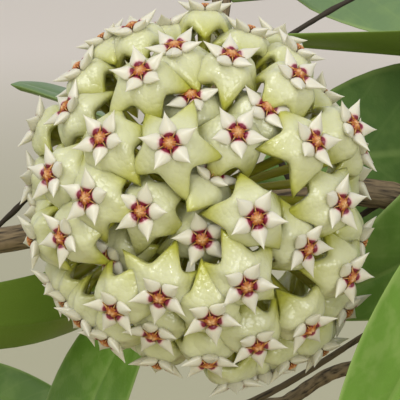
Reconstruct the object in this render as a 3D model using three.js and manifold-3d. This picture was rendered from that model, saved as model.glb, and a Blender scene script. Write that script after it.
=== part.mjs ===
// A wax plant in a plain clay pot: woody vines that arch out of the soil, thick pointed leaves in
// pairs, and one round head of star flowers held out in front on its stalk.
// Millimetres, +Z up, origin on the floor under the middle of the pot.
import * as THREE from 'three';
import { mergeVertices } from 'three/addons/utils/BufferGeometryUtils.js';
import Module from 'manifold-3d';

const wasm = await Module();
wasm.setup();

// Driving dimensions of the pot and its soil.
const POT_HEIGHT = 130;
const POT_RIM_RADIUS = 78;
const POT_NECK_RADIUS = 71;
const POT_BASE_RADIUS = 53;
const POT_BAND = 26;
const POT_NECK = POT_HEIGHT - POT_BAND;
const POT_WALL = 7;
const POT_FLOOR = 9;
const POT_SIDES = 32;
const DRAIN_HOLES = 4;
const DRAIN_RADIUS = 5;
const DRAIN_RING = 27;
const DRAIN_SIDES = 12;
const SOIL_TOP = 114;
const SOIL_CROWN = 4;
const VINE_FOOT = 90;
const SOCKET_SIDES = 8;

// Driving dimensions of the flower head.
const HEAD = new THREE.Vector3(0, -92, 240);
const HEAD_PLACE = 0.6;
const HEAD_RADIUS = 28.5;
const HEAD_CORE = 2.4;
const STALK_RADIUS = 1.4;
const STALK_SIDES = 6;
const STALK_STEPS = 3;
const CROWN_RADIUS = 4.6;
const COROLLA_RADIUS = 6;
const FAR_RADIUS = 25.8;
const FLOWER_SPACING = 9.3;
const SPIRAL_TURNS = 400;

// The band of the head that holds flowers and that the photograph hides, in degrees from its front.
const SIDE_EDGE = THREE.MathUtils.degToRad(84);
const BACK_EDGE = THREE.MathUtils.degToRad(116);

// Driving dimensions of the vines and leaves.
const VINE_SIDES = 6;
const VINE_STEPS = 20;
const SPUR_FOOT = 0.9;
const SPUR_TIP = 0.5;
const SPUR_SIDES = 5;
const SPUR_STEPS = 8;
const LEAF_THICKNESS = 1.5;
const LEAF_WIDTH_PART = 0.32;
const LEAF_CUP = 0.12;
const PETIOLE_PART = 0.11;
const PETIOLE_HALF_WIDTH = 1.2;
const PETIOLE_THICKNESS = 2.2;
const PETIOLE_BLEND = 0.1;
const POINT_HALF_WIDTH = 0.4;
const LEAF_COLUMNS = 2;
const GAP = 0.3;

// Stations along a leaf, from the vine to the point.
const LEAF_STATIONS = [0, PETIOLE_PART, 0.16, 0.25, 0.4, 0.57, 0.74, 0.89, 1];

// How the photograph sees the plant: tilt of the view, distance to the head, scale at the head.
const VIEW_TILT = THREE.MathUtils.degToRad(8);
const VIEW_DISTANCE = 320;
const MM_PER_PIXEL = 0.155;
const MIDDLE_PIXEL = 200;
const HEAD_ROW = 195;
const VIEW_RIGHT = new THREE.Vector3(1, 0, 0);
const VIEW_UP = new THREE.Vector3(0, Math.sin(VIEW_TILT), Math.cos(VIEW_TILT));
const VIEW_AHEAD = new THREE.Vector3(0, Math.cos(VIEW_TILT), -Math.sin(VIEW_TILT));

function at(x, y, z) {
  return new THREE.Vector3(x, y, z);
}

// The point that the photograph shows at a pixel, so many millimetres behind the head.
function seen(column, row, behind) {
  const scale = MM_PER_PIXEL * (VIEW_DISTANCE + behind) / VIEW_DISTANCE;
  const lift = (MIDDLE_PIXEL - row) * scale - (MIDDLE_PIXEL - HEAD_ROW) * MM_PER_PIXEL;
  return HEAD.clone()
    .addScaledVector(VIEW_RIGHT, (column - MIDDLE_PIXEL) * scale)
    .addScaledVector(VIEW_UP, lift)
    .addScaledVector(VIEW_AHEAD, behind);
}

// The straight foot of a vine that stands in the soil at a place.
function planted(x, y) {
  return [at(x, y, VINE_FOOT), at(x, y, 120), at(x, y, 136)];
}

// Routes of the vines, foot first; the stretches that the photograph shows are given as seen there.
const VINES = {
  front: {
    foot: 3.2,
    tip: 1.8,
    route: [...planted(44, 14), at(52, -14, 186), at(56, -40, 218), seen(390, 196, 40),
      seen(200, 207, 42), seen(22, 237, 38), at(-62, -62, 222), at(-94, -62, 210), at(-122, -56, 190)],
    spurs: [
      [seen(388, 198, 41), seen(360, 216, 44), seen(320, 239, 43)],
      [seen(300, 201, 41), seen(268, 120, 38), seen(282, 36, 54), seen(350, 0, 60), seen(430, -36, 62)],
      [seen(150, 214, 41), seen(80, 172, 46), seen(38, 190, 48), seen(10, 215, 50), seen(-40, 262, 54)],
    ],
  },
  right: {
    foot: 1.3,
    tip: 1.1,
    route: [...planted(-8, -42), seen(290, 400, 45), seen(350, 368, 45), at(44, -61, 206),
      at(60, -65, 227), at(72, -63, 248), at(100, -44, 258), at(128, -22, 253)],
  },
  shoot: {
    foot: 1.1,
    tip: 0.4,
    route: [...planted(-42, -26), at(-40, -44, 164), at(-18, -62, 190), seen(255, 400, 32),
      seen(365, 335, 32), seen(388, 324, 31)],
  },
  back: {
    foot: 2.2,
    tip: 1.3,
    route: [...planted(-30, 14), at(-22, 10, 184), at(-2, 8, 230), at(4, 14, 275),
      at(-12, 24, 318), at(-44, 34, 338), at(-78, 40, 332)],
  },
  left: {
    foot: 2,
    tip: 1.2,
    route: [...planted(-50, 8), at(-68, 8, 174), at(-94, 6, 204), at(-126, 0, 216), at(-156, -4, 202)],
  },
  far: {
    foot: 2,
    tip: 1.2,
    route: [...planted(24, 44), at(48, 58, 172), at(72, 68, 210), at(98, 76, 238), at(130, 80, 240)],
  },
};

// Leaves, in pairs along the vines. place: where on the vine, from its foot 0 to its tip 1.
// heading: compass direction, 0 along +X and 90 along +Y. rise, droop: slope at the root and at the
// point. roll: turn about the midrib. All in degrees; length in millimetres with the leaf stalk.
// A leaf that the photograph shows may have tip, the place of its point, and bend, its whole arch.
const LEAVES = [
  { vine: 'front', place: 0.6, heading: 24, rise: 15, droop: -24, roll: -68, length: 110 },
  { vine: 'right', place: 0.9, tip: seen(294, 309, 33), bend: -5, roll: 87 },
  { vine: 'right', place: 0.75, tip: seen(320, 576, -7), bend: 44, roll: 90 },
  { vine: 'back', place: 0.6, heading: -12, rise: 5.5, droop: 0, roll: -48, length: 112 },
  { vine: 'right', place: 0.95, tip: seen(256, 34, 46), bend: -5, roll: 5 },
  { vine: 'back', place: 0.5, tip: seen(22, 87, 70), bend: 30, roll: 20 },
  { vine: 'front', place: 0.8, heading: 35, rise: -29, droop: 40, roll: 40, length: 92 },
  { vine: 'front', place: 0.6, heading: 171, rise: -51, droop: -90, roll: 35, length: 92 },
  { vine: 'left', place: 0.55, tip: seen(92, 428, 98), bend: 10, roll: -60 },
  { vine: 'front', place: 0.35, heading: 62, rise: 30, droop: -30, roll: 0, length: 96 },
  { vine: 'front', place: 0.35, heading: 330, rise: 20, droop: -45, roll: 10, length: 100 },
  { vine: 'front', place: 0.8, heading: 100, rise: 55, droop: -10, roll: 15, length: 92 },
  { vine: 'front', place: 0.85, heading: 256, rise: -10, droop: -70, roll: -20, length: 100 },
  { vine: 'front', place: 0.9, heading: 78, rise: 20, droop: -40, roll: 0, length: 76 },
  { vine: 'front', place: 0.9, heading: 276, rise: 30, droop: -35, roll: 0, length: 94 },
  { vine: 'front', place: 1, heading: 148, rise: 5, droop: -40, roll: -20, length: 84 },
  { vine: 'front', place: 1, heading: 218, rise: 15, droop: -50, roll: 20, length: 86 },
  { vine: 'right', place: 1, heading: 345, rise: 5, droop: -40, roll: 15, length: 84 },
  { vine: 'right', place: 1, heading: 75, rise: 20, droop: -30, roll: -10, length: 84 },
  { vine: 'back', place: 0.5, heading: 60, rise: 20, droop: -25, roll: 5, length: 92 },
  { vine: 'back', place: 0.6, heading: 142, rise: 44, droop: 2, roll: 15, length: 90 },
  { vine: 'back', place: 0.75, heading: 55, rise: 35, droop: -20, roll: 10, length: 94 },
  { vine: 'back', place: 0.75, heading: 224, rise: 16, droop: -14, roll: -10, length: 88 },
  { vine: 'back', place: 0.85, heading: 110, rise: 25, droop: -30, roll: 0, length: 90 },
  { vine: 'back', place: 0.85, heading: 268, rise: 30, droop: -12, roll: 0, length: 84 },
  { vine: 'back', place: 1, heading: 185, rise: -5, droop: -50, roll: 0, length: 88 },
  { vine: 'left', place: 0.6, heading: 106, rise: 30, droop: -30, roll: 0, length: 96 },
  { vine: 'left', place: 0.6, heading: 250, rise: 0, droop: -66, roll: 10, length: 84 },
  { vine: 'left', place: 0.8, heading: 128, rise: 30, droop: -30, roll: -10, length: 90 },
  { vine: 'left', place: 1, heading: 182, rise: -10, droop: -50, roll: 0, length: 82 },
  { vine: 'far', place: 0.6, heading: 318, rise: 10, droop: -50, roll: 0, length: 92 },
  { vine: 'far', place: 0.8, heading: 75, rise: 25, droop: -40, roll: 5, length: 92 },
  { vine: 'far', place: 1, heading: 5, rise: 0, droop: -50, roll: 0, length: 84 },
];

// Flowers read from the photograph: the pixel at the middle of each face, how far the face turns
// away from the view in degrees, and, where one shows well, the pixel at a tip of its crown. A face
// that lies deeper than the rest has its own reach from the middle of the head.
const FLOWERS_SEEN = [
  { face: [170, 144], turn: 14, tip: [165, 110] },
  { face: [237, 134], turn: 26, tip: [269, 144] },
  { face: [142, 211], turn: 22, tip: [152, 242] },
  { face: [202, 238], turn: 18, tip: [226, 258] },
  { face: [256, 218], turn: 14, tip: [294, 222] },
  { face: [191, 97], turn: 42, tip: [218, 95] },
  { face: [266, 109], turn: 44, tip: [240, 90] },
  { face: [314, 142], turn: 42, tip: [341, 142] },
  { face: [340, 204], turn: 42, tip: [368, 194] },
  { face: [306, 248], turn: 46, tip: [331, 246] },
  { face: [246, 285], turn: 32, tip: [278, 283] },
  { face: [211, 318], turn: 40, tip: [238, 320] },
  { face: [160, 296], turn: 38, tip: [190, 312] },
  { face: [109, 259], turn: 52, tip: [86, 256] },
  { face: [88, 198], turn: 34, tip: [103, 230] },
  { face: [102, 139], turn: 34, tip: [72, 153] },
  { face: [141, 73], turn: 38, tip: [108, 75] },
  { face: [175, 48], turn: 58, tip: [199, 50] },
  { face: [231, 57], turn: 54, tip: [260, 54] },
  { face: [297, 76], turn: 54, tip: [320, 63] },
  { face: [352, 126], turn: 56, tip: [377, 134] },
  { face: [349, 276], turn: 52, tip: [374, 274] },
  { face: [308, 327], turn: 62 },
  { face: [257, 344], turn: 50, tip: [284, 342] },
  { face: [208, 361], turn: 66, tip: [190, 358] },
  { face: [154, 333], turn: 58, tip: [180, 330] },
  { face: [114, 309], turn: 50, tip: [86, 299] },
  { face: [63, 237], turn: 50, tip: [66, 268] },
  { face: [51, 175], turn: 50, tip: [52, 145] },
  { face: [68, 109], turn: 70, tip: [57, 91] },
  { face: [80, 69], turn: 78 },
  { face: [104, 40], turn: 86 },
  { face: [133, 29], turn: 74, tip: [132, 18] },
  { face: [164, 26], turn: 92 },
  { face: [205, 10], turn: 88 },
  { face: [250, 32], turn: 86 },
  { face: [297, 51], turn: 84 },
  { face: [278, 38], turn: 102 },
  { face: [346, 310], turn: 76 },
  { face: [322, 349], turn: 86 },
  { face: [290, 362], turn: 80 },
  { face: [264, 372], turn: 96 },
  { face: [235, 382], turn: 92 },
  { face: [158, 362], turn: 80 },
  { face: [107, 339], turn: 76 },
  { face: [81, 320], turn: 80 },
  { face: [66, 301], turn: 88 },
  { face: [54, 288], turn: 92 },
  { face: [34, 240], turn: 80 },
  { face: [37, 213], turn: 96 },
  { face: [33, 178], turn: 96 },
  { face: [38, 125], turn: 94 },
  { face: [212, 176], turn: 70, reach: 19.5 },
];

// Cleans a closed geometry: shared corners become one, and squeezed-out triangles go.
function weld(geometry) {
  geometry.deleteAttribute('normal');
  geometry.deleteAttribute('uv');
  const merged = mergeVertices(geometry, 1e-4);
  const corners = merged.index.array;
  const kept = [];
  for (let i = 0; i < corners.length; i += 3) {
    const [a, b, c] = [corners[i], corners[i + 1], corners[i + 2]];
    if (a !== b && b !== c && c !== a) {
      kept.push(a, b, c);
    }
  }
  merged.setIndex(kept);
  return faceOut(merged);
}

// Turns the faces of a closed geometry outwards if they point in.
function faceOut(geometry) {
  const corners = geometry.index.array;
  const place = geometry.attributes.position;
  const [a, b, c] = [at(0, 0, 0), at(0, 0, 0), at(0, 0, 0)];
  let volume = 0;
  for (let i = 0; i < corners.length; i += 3) {
    a.fromBufferAttribute(place, corners[i]);
    b.fromBufferAttribute(place, corners[i + 1]);
    c.fromBufferAttribute(place, corners[i + 2]);
    volume += a.dot(b.cross(c));
  }
  if (volume < 0) {
    geometry.setIndex(Array.from(corners).reverse());
  }
  return geometry;
}

// A closed welded geometry as a solid that can be joined and cut.
function solid(geometry) {
  return new wasm.Manifold(new wasm.Mesh({
    numProp: 3,
    vertProperties: Float32Array.from(geometry.attributes.position.array),
    triVerts: Uint32Array.from(geometry.index.array),
  }));
}

// A joined or cut solid as a geometry again.
function geometryOf(body) {
  const mesh = body.getMesh();
  const geometry = new THREE.BufferGeometry();
  geometry.setAttribute('position', new THREE.BufferAttribute(mesh.vertProperties, 3));
  geometry.setIndex(new THREE.BufferAttribute(mesh.triVerts, 1));
  return geometry;
}

function material(color, roughness) {
  return new THREE.MeshStandardMaterial({ color, roughness, metalness: 0, flatShading: true });
}

// One named piece of the plant.
function piece(name, geometry, surface) {
  geometry.computeVertexNormals();
  const mesh = new THREE.Mesh(geometry, surface);
  mesh.name = name;
  return mesh;
}

// A profile of [radius, height] pairs turned about the upright axis of the pot.
function turned(profile) {
  const points = profile.map(([radius, height]) => new THREE.Vector2(radius, height));
  const lathe = new THREE.LatheGeometry(points, POT_SIDES);
  lathe.rotateX(Math.PI / 2);
  return weld(lathe);
}

// An upright round cutter between two heights.
function plug(x, y, low, high, radius, sides) {
  const cutter = new THREE.CylinderGeometry(radius, radius, high - low, sides);
  cutter.rotateX(Math.PI / 2);
  cutter.translate(x, y, (low + high) / 2);
  return solid(weld(cutter));
}

// The radius of the pot's inside at a height: tapered below the rim band, then steeper.
function potInside(height) {
  const low = POT_BASE_RADIUS - POT_WALL;
  const middle = POT_NECK_RADIUS - POT_WALL;
  const high = POT_RIM_RADIUS - POT_WALL - 1;
  if (height < POT_NECK) {
    return THREE.MathUtils.lerp(low, middle, height / POT_NECK);
  }
  return THREE.MathUtils.lerp(middle, high, (height - POT_NECK) / POT_BAND);
}

// The clay pot: tapered wall, proud rim band with a rounded lip, drain holes round the middle.
function pot() {
  let body = solid(turned([
    [0, 0],
    [POT_BASE_RADIUS - 2, 0],
    [POT_BASE_RADIUS, 2],
    [POT_NECK_RADIUS, POT_NECK],
    [POT_RIM_RADIUS - 3, POT_NECK],
    [POT_RIM_RADIUS - 1.5, POT_NECK + 2],
    [POT_RIM_RADIUS, POT_HEIGHT - 3],
    [POT_RIM_RADIUS - 2, POT_HEIGHT],
    [POT_RIM_RADIUS - POT_WALL + 1, POT_HEIGHT],
    [potInside(POT_HEIGHT - 2), POT_HEIGHT - 2],
    [potInside(POT_NECK), POT_NECK],
    [potInside(POT_FLOOR), POT_FLOOR],
    [0, POT_FLOOR],
  ]));
  for (let i = 0; i < DRAIN_HOLES; i += 1) {
    const angle = 2 * Math.PI * (i + 0.5) / DRAIN_HOLES;
    const [x, y] = [DRAIN_RING * Math.cos(angle), DRAIN_RING * Math.sin(angle)];
    body = body.subtract(plug(x, y, -POT_FLOOR, 2 * POT_FLOOR, DRAIN_RADIUS, DRAIN_SIDES));
  }
  return geometryOf(body);
}

// The soil: fills the pot to below its rim, slightly heaped, with a plain hole for each vine.
function soil() {
  const low = POT_FLOOR + GAP;
  const edge = SOIL_TOP - 2;
  let body = solid(turned([
    [0, low],
    [potInside(low) - GAP, low],
    [potInside(POT_NECK) - GAP, POT_NECK],
    [potInside(edge) - GAP, edge],
    [potInside(edge) - 8, SOIL_TOP],
    [potInside(edge) / 2, SOIL_TOP + SOIL_CROWN * 0.8],
    [0, SOIL_TOP + SOIL_CROWN],
  ]));
  for (const { foot, route } of Object.values(VINES)) {
    const { x, y } = route[0];
    body = body.subtract(plug(x, y, VINE_FOOT - GAP, POT_HEIGHT, foot + 2 * GAP, SOCKET_SIDES));
  }
  return geometryOf(body);
}

// The smooth curve through a vine's route.
function curveOf(vine) {
  return new THREE.CatmullRomCurve3(vine.route, false, 'catmullrom', 0.5);
}

// Bends a straight capped cylinder along a curve and tapers it.
function tube(curve, footRadius, tipRadius, sides, steps) {
  const straight = new THREE.CylinderGeometry(1, 1, 1, sides, steps);
  const rings = [];
  const across = at(1, 0, 0);
  for (let k = 0; k <= steps; k += 1) {
    const along = curve.getTangent(k / steps);
    across.addScaledVector(along, -across.dot(along)).normalize();
    rings.push({ middle: curve.getPoint(k / steps), x: across.clone(), z: across.clone().cross(along) });
  }
  const place = straight.attributes.position;
  for (let i = 0; i < place.count; i += 1) {
    const part = place.getY(i) + 0.5;
    const ring = rings[Math.round(part * steps)];
    const radius = THREE.MathUtils.lerp(footRadius, tipRadius, part);
    const spot = ring.middle.clone()
      .addScaledVector(ring.x, place.getX(i) * radius)
      .addScaledVector(ring.z, place.getZ(i) * radius);
    place.setXYZ(i, spot.x, spot.y, spot.z);
  }
  return weld(straight);
}

// A vine with the leafless spurs that grew from it.
function vine({ foot, tip, route, spurs = [] }) {
  const stem = tube(curveOf({ route }), foot, tip, VINE_SIDES, VINE_STEPS);
  if (spurs.length === 0) {
    return stem;
  }
  let body = solid(stem);
  for (const spur of spurs) {
    body = body.add(solid(tube(curveOf({ route: spur }), SPUR_FOOT, SPUR_TIP, SPUR_SIDES, SPUR_STEPS)));
  }
  return geometryOf(body);
}

// Closes an open grid into a thin solid; both faces share one split, so that they never cross.
function sheet(columns, rows, place) {
  const grid = new THREE.PlaneGeometry(2, 1, columns, rows);
  const { uv } = grid.attributes;
  const spots = [];
  for (const face of [1, -1]) {
    for (let i = 0; i < uv.count; i += 1) {
      place(uv.getX(i) * 2 - 1, 1 - uv.getY(i), face).toArray(spots, spots.length);
    }
  }
  const front = Array.from(grid.index.array);
  const back = front.map((corner) => corner + uv.count).reverse();
  const rim = gridRim(columns, rows);
  const wall = rim.flatMap((corner, k) => {
    const next = rim[(k + 1) % rim.length];
    return [next, corner, corner + uv.count, next, corner + uv.count, next + uv.count];
  });
  const closed = new THREE.BufferGeometry();
  closed.setAttribute('position', new THREE.Float32BufferAttribute(spots, 3));
  closed.setIndex([...front, ...back, ...wall]);
  return weld(closed);
}

// The corner numbers round a plane's grid, in the direction of its faces.
function gridRim(columns, rows) {
  const wide = columns + 1;
  const rim = [];
  for (let row = 0; row < rows; row += 1) {
    rim.push(row * wide);
  }
  for (let column = 0; column < columns; column += 1) {
    rim.push(rows * wide + column);
  }
  for (let row = rows; row > 0; row -= 1) {
    rim.push(row * wide + columns);
  }
  for (let column = columns; column > 0; column -= 1) {
    rim.push(column);
  }
  return rim;
}

// The half width of a blade, as a part of its widest, from its base 0 to its point 1.
function bladeOutline(part) {
  return Math.sin(Math.PI * Math.min(part, 1) ** 0.8) ** 0.9;
}

// A leaf given by its point and its arch, as heading, slopes and length.
function reaching(leaf) {
  if (!leaf.tip) {
    return leaf;
  }
  const reach = leaf.tip.clone().sub(curveOf(VINES[leaf.vine]).getPoint(leaf.place));
  const slope = THREE.MathUtils.radToDeg(Math.asin(reach.z / reach.length()));
  const half = THREE.MathUtils.degToRad(leaf.bend / 2);
  return {
    ...leaf,
    heading: THREE.MathUtils.radToDeg(Math.atan2(reach.y, reach.x)),
    rise: slope + leaf.bend / 2,
    droop: slope - leaf.bend / 2,
    length: reach.length() * half / Math.sin(half),
  };
}

// The frame of a leaf at a part of its length: the midrib arcs from its rise to its droop.
function leafFrame(leaf, root, part) {
  const heading = THREE.MathUtils.degToRad(leaf.heading);
  const start = THREE.MathUtils.degToRad(leaf.rise);
  const bend = THREE.MathUtils.degToRad(leaf.droop - leaf.rise);
  const slope = start + bend * part;
  const reach = leaf.length * (Math.sin(slope) - Math.sin(start)) / bend;
  const climb = leaf.length * (Math.cos(start) - Math.cos(slope)) / bend;
  const forward = at(Math.cos(heading), Math.sin(heading), 0);
  const along = forward.clone().multiplyScalar(Math.cos(slope)).setZ(Math.sin(slope));
  const level = at(Math.sin(heading), -Math.cos(heading), 0);
  const roll = THREE.MathUtils.degToRad(leaf.roll);
  const side = level.applyAxisAngle(along, -roll);
  return {
    middle: root.clone().addScaledVector(forward, reach).add(at(0, 0, climb)),
    along,
    side,
    up: side.clone().cross(along),
  };
}

// Where a leaf's stalk meets its vine: on the side that the leaf leaves by, a hair off the bark.
function leafRoot(leaf) {
  const { foot, tip, route } = VINES[leaf.vine];
  const curve = curveOf({ route });
  const along = curve.getTangent(leaf.place);
  const out = leafFrame(leaf, at(0, 0, 0), 0).along;
  const slant = out.dot(along);
  out.addScaledVector(along, -slant).normalize();
  const bark = THREE.MathUtils.lerp(foot, tip, leaf.place);
  return curve.getPoint(leaf.place).addScaledVector(out, bark + GAP + PETIOLE_HALF_WIDTH * Math.abs(slant));
}

// One leaf: a short thick stalk that widens into a pointed, slightly cupped blade.
function leafBlade(leaf) {
  const root = leafRoot(leaf);
  const widest = leaf.length * LEAF_WIDTH_PART / 2;
  const rows = LEAF_STATIONS.length - 1;
  return sheet(LEAF_COLUMNS, rows, (across, row, face) => {
    const part = LEAF_STATIONS[Math.round(row * rows)];
    const frame = leafFrame(leaf, root, part);
    const blade = Math.max(0, (part - PETIOLE_PART) / (1 - PETIOLE_PART));
    const stalk = Math.max(0, 1 - blade / PETIOLE_BLEND);
    const half = Math.max(widest * bladeOutline(blade), PETIOLE_HALF_WIDTH * stalk, POINT_HALF_WIDTH);
    const thick = THREE.MathUtils.lerp(LEAF_THICKNESS, PETIOLE_THICKNESS, stalk);
    const cup = LEAF_CUP * half * across * across * (1 - stalk);
    return frame.middle
      .addScaledVector(frame.side, across * half)
      .addScaledVector(frame.up, cup + face * thick / 2);
  });
}

// The rings of one flower, from the middle of its face down to its stalk: [radius, height] at the
// tips of the crown's five lobes, then at the valleys between them, where the corolla's lobes lie.
const FLOWER_RINGS = [
  { tip: [0, 1.3], valley: [0, 1.3], fused: true },
  { tip: [CROWN_RADIUS, 0.7], valley: [2.3, 0.3], fused: false },
  { tip: [4, -1.4], valley: [4.2, -1.2], fused: false },
  { tip: [4.2, -2.8], valley: [COROLLA_RADIUS, -5.8], fused: false },
  { tip: [0.7, -2.8], valley: [0.7, -2.8], fused: true },
];
const LOBES = 5;

// One flower on its stalk, from its face to the middle of the head.
function flower({ face, normal, first, root }) {
  const second = normal.clone().cross(first);
  const rings = FLOWER_RINGS.length + 2;
  const corner = (unused, k) => new THREE.Vector2(k % (rings - 1) ? 1 : 0, -k);
  const profile = Array.from({ length: rings }, corner);
  const lathe = new THREE.LatheGeometry(profile, LOBES * 2);
  const place = lathe.attributes.position;
  for (let i = 0; i < place.count; i += 1) {
    const segment = Math.floor(i / rings) % (LOBES * 2);
    const k = i % rings;
    const ring = FLOWER_RINGS[Math.min(k, FLOWER_RINGS.length - 1)];
    const step = ring.fused ? segment - segment % 2 : segment;
    const [radius, height] = step % 2 === 0 ? ring.tip : ring.valley;
    const angle = Math.PI * step / LOBES;
    const spot = k < FLOWER_RINGS.length ? face.clone().addScaledVector(normal, height) : root.clone();
    const wide = k < rings - 1 ? radius : 0;
    spot.addScaledVector(first, wide * Math.cos(angle)).addScaledVector(second, wide * Math.sin(angle));
    place.setXYZ(i, spot.x, spot.y, spot.z);
  }
  return solid(weld(lathe));
}

// The frame of a flower that the photograph shows.
function seenFlower({ face, turn, tip, reach }) {
  const across = (face[0] - MIDDLE_PIXEL) * MM_PER_PIXEL;
  const rise = (HEAD_ROW - face[1]) * MM_PER_PIXEL;
  const off = Math.hypot(across, rise);
  const polar = Math.max(Math.asin(Math.min(1, off / HEAD_RADIUS)), THREE.MathUtils.degToRad(turn));
  const outward = VIEW_RIGHT.clone().multiplyScalar(across / off).addScaledVector(VIEW_UP, rise / off);
  const toward = VIEW_AHEAD.clone().negate();
  const tilt = THREE.MathUtils.degToRad(turn);
  const normal = outward.clone().multiplyScalar(Math.sin(tilt)).addScaledVector(toward, Math.cos(tilt));
  // How much nearer to the view than the middle of the head the face stands.
  const nearer = reach ? Math.sqrt(reach ** 2 - off ** 2) : off / (Math.tan(polar) + off / VIEW_DISTANCE);
  const place = seen(face[0], face[1], -nearer);
  let first = outward.clone();
  if (tip) {
    first = VIEW_RIGHT.clone().multiplyScalar(tip[0] - face[0]).addScaledVector(VIEW_UP, face[1] - tip[1]);
    first.addScaledVector(toward, -first.dot(normal) / toward.dot(normal));
  }
  return flowerFrame(place, normal, first);
}

function flowerFrame(face, normal, hint) {
  const first = hint.addScaledVector(normal, -hint.dot(normal)).normalize();
  const root = HEAD.clone().addScaledVector(face.clone().sub(HEAD).normalize(), HEAD_CORE / 3);
  return { face, normal, first, root };
}

// The flowers of the far side, which the photograph hides: an even spiral round the back.
function hiddenFlowers(taken) {
  const added = [];
  const golden = Math.PI * (3 - Math.sqrt(5));
  for (let i = 0; i < SPIRAL_TURNS; i += 1) {
    const facing = 1 - 2 * (i + 0.5) / SPIRAL_TURNS;
    const polar = Math.acos(facing);
    if (polar < SIDE_EDGE || polar > BACK_EDGE) {
      continue;
    }
    const round = i * golden;
    const normal = VIEW_RIGHT.clone().multiplyScalar(Math.sin(polar) * Math.cos(round))
      .addScaledVector(VIEW_UP, Math.sin(polar) * Math.sin(round))
      .addScaledVector(VIEW_AHEAD, -facing);
    const face = HEAD.clone().addScaledVector(normal, FAR_RADIUS);
    const clear = [...taken, ...added].every((other) => other.face.distanceTo(face) > FLOWER_SPACING);
    if (clear) {
      added.push(flowerFrame(face, normal, VIEW_UP.clone().applyAxisAngle(normal, round)));
    }
  }
  return added;
}

// The whole head: stalk, core and flowers grown into one piece.
function head() {
  const bearer = curveOf(VINES.front);
  const node = bearer.getPoint(HEAD_PLACE);
  const bearerRadius = THREE.MathUtils.lerp(VINES.front.foot, VINES.front.tip, HEAD_PLACE);
  const reach = HEAD.clone().sub(node).normalize();
  const start = node.clone().addScaledVector(reach, bearerRadius + GAP);
  const stalk = new THREE.LineCurve3(start, HEAD);
  let body = solid(weld(new THREE.IcosahedronGeometry(HEAD_CORE, 1).translate(HEAD.x, HEAD.y, HEAD.z)));
  body = body.add(solid(tube(stalk, STALK_RADIUS, STALK_RADIUS, STALK_SIDES, STALK_STEPS)));
  const shown = FLOWERS_SEEN.map(seenFlower);
  for (const frame of [...shown, ...hiddenFlowers(shown)]) {
    body = body.add(flower(frame));
  }
  const bodies = body.decompose().sort((one, other) => other.volume() - one.volume());
  return geometryOf(bodies[0]);
}

const clay = material('#b5714e', 0.85);
const earth = material('#3b2a1e', 0.95);
const bark = material('#6b5a3c', 0.75);
const leafGreen = material('#4c6b2c', 0.4);
const wax = material('#e6e3cf', 0.35);

const plant = new THREE.Group();
plant.add(piece('pot', pot(), clay));
plant.add(piece('soil', soil(), earth));
for (const [name, route] of Object.entries(VINES)) {
  plant.add(piece(`vine_${name}`, vine(route), bark));
}
LEAVES.map(reaching).forEach((leaf, i) => {
  plant.add(piece(`leaf_${String(i + 1).padStart(2, '0')}`, leafBlade(leaf), leafGreen));
});
plant.add(piece('flower_umbel', head(), wax));

export default plant;
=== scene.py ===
"""Dresses a potted wax plant: clay pot, bark mix, woody vines, waxy leaves and one round flower head.

Routes, leaves and flowers are worked out in millimetres, in the same frame as the plain solids that
they stand for, and are turned to metres as each point is placed.
"""
import math
import random
from collections import namedtuple
from functools import partial

import bmesh
import bpy
from bpy.props import FloatProperty, FloatVectorProperty, IntProperty, PointerProperty
from bpy.types import Operator, Panel, PropertyGroup, Scene
from mathutils import Matrix, Vector, noise


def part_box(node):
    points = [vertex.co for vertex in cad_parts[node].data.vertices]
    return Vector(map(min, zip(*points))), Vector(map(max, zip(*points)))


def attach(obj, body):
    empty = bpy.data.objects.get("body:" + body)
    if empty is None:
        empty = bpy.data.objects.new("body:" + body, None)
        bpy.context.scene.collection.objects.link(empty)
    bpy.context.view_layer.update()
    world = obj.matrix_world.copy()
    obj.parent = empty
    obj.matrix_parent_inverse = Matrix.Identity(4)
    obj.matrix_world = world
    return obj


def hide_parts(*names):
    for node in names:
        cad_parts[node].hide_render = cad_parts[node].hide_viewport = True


bl_info = {
    "name": "Potted wax plant",
    "version": (1, 0, 0),
    "blender": (4, 5, 0),
    "location": "3D View > Sidebar > Wax Plant",
    "description": "Dresses the plain solids of a potted wax plant with fine pieces and finishes",
    "category": "Object",
}

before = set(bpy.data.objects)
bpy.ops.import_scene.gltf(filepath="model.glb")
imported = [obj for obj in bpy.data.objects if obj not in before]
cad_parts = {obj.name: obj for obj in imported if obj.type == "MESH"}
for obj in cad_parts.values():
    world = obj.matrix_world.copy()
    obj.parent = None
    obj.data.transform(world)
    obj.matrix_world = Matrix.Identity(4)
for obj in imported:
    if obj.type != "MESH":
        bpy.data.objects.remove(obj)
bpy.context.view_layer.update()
MM = 0.001
WELD = 0.002 * MM

# Pot and soil, in millimetres; the outer sizes are the frame's.
POT_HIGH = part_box("pot")[1]
POT_HEIGHT = POT_HIGH.z / MM
POT_RIM_RADIUS = POT_HIGH.x / MM
POT_NECK_RADIUS = POT_RIM_RADIUS - 7
POT_BASE_RADIUS = POT_RIM_RADIUS - 25
POT_BAND = 26
POT_NECK = POT_HEIGHT - POT_BAND
POT_WALL = 7
POT_SHARP_EDGE = math.radians(28)
POT_FLOOR = 9
DRAIN_HOLES = 4
DRAIN_RADIUS = 5
DRAIN_RING = 27
SOIL_TOP = 114
SOIL_CROWN = 4
VINE_HEIGHTS = 90, 120, 136
GAP = 0.3

# Bark chips: how far they keep from vines and wall, the range of their sizes, as a part of the mean,
# and of their widths and thicknesses, as a part of the size, and how far a corner is broken off true.
CHIP_FROM_VINE = 6
CHIP_FROM_WALL = 5
CHIP_SIZES = 0.45, 1.25
CHIP_WIDTHS = 0.4, 0.7
CHIP_THICKNESSES = 0.2, 0.35
CHIP_CORNER = 0.16

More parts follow.
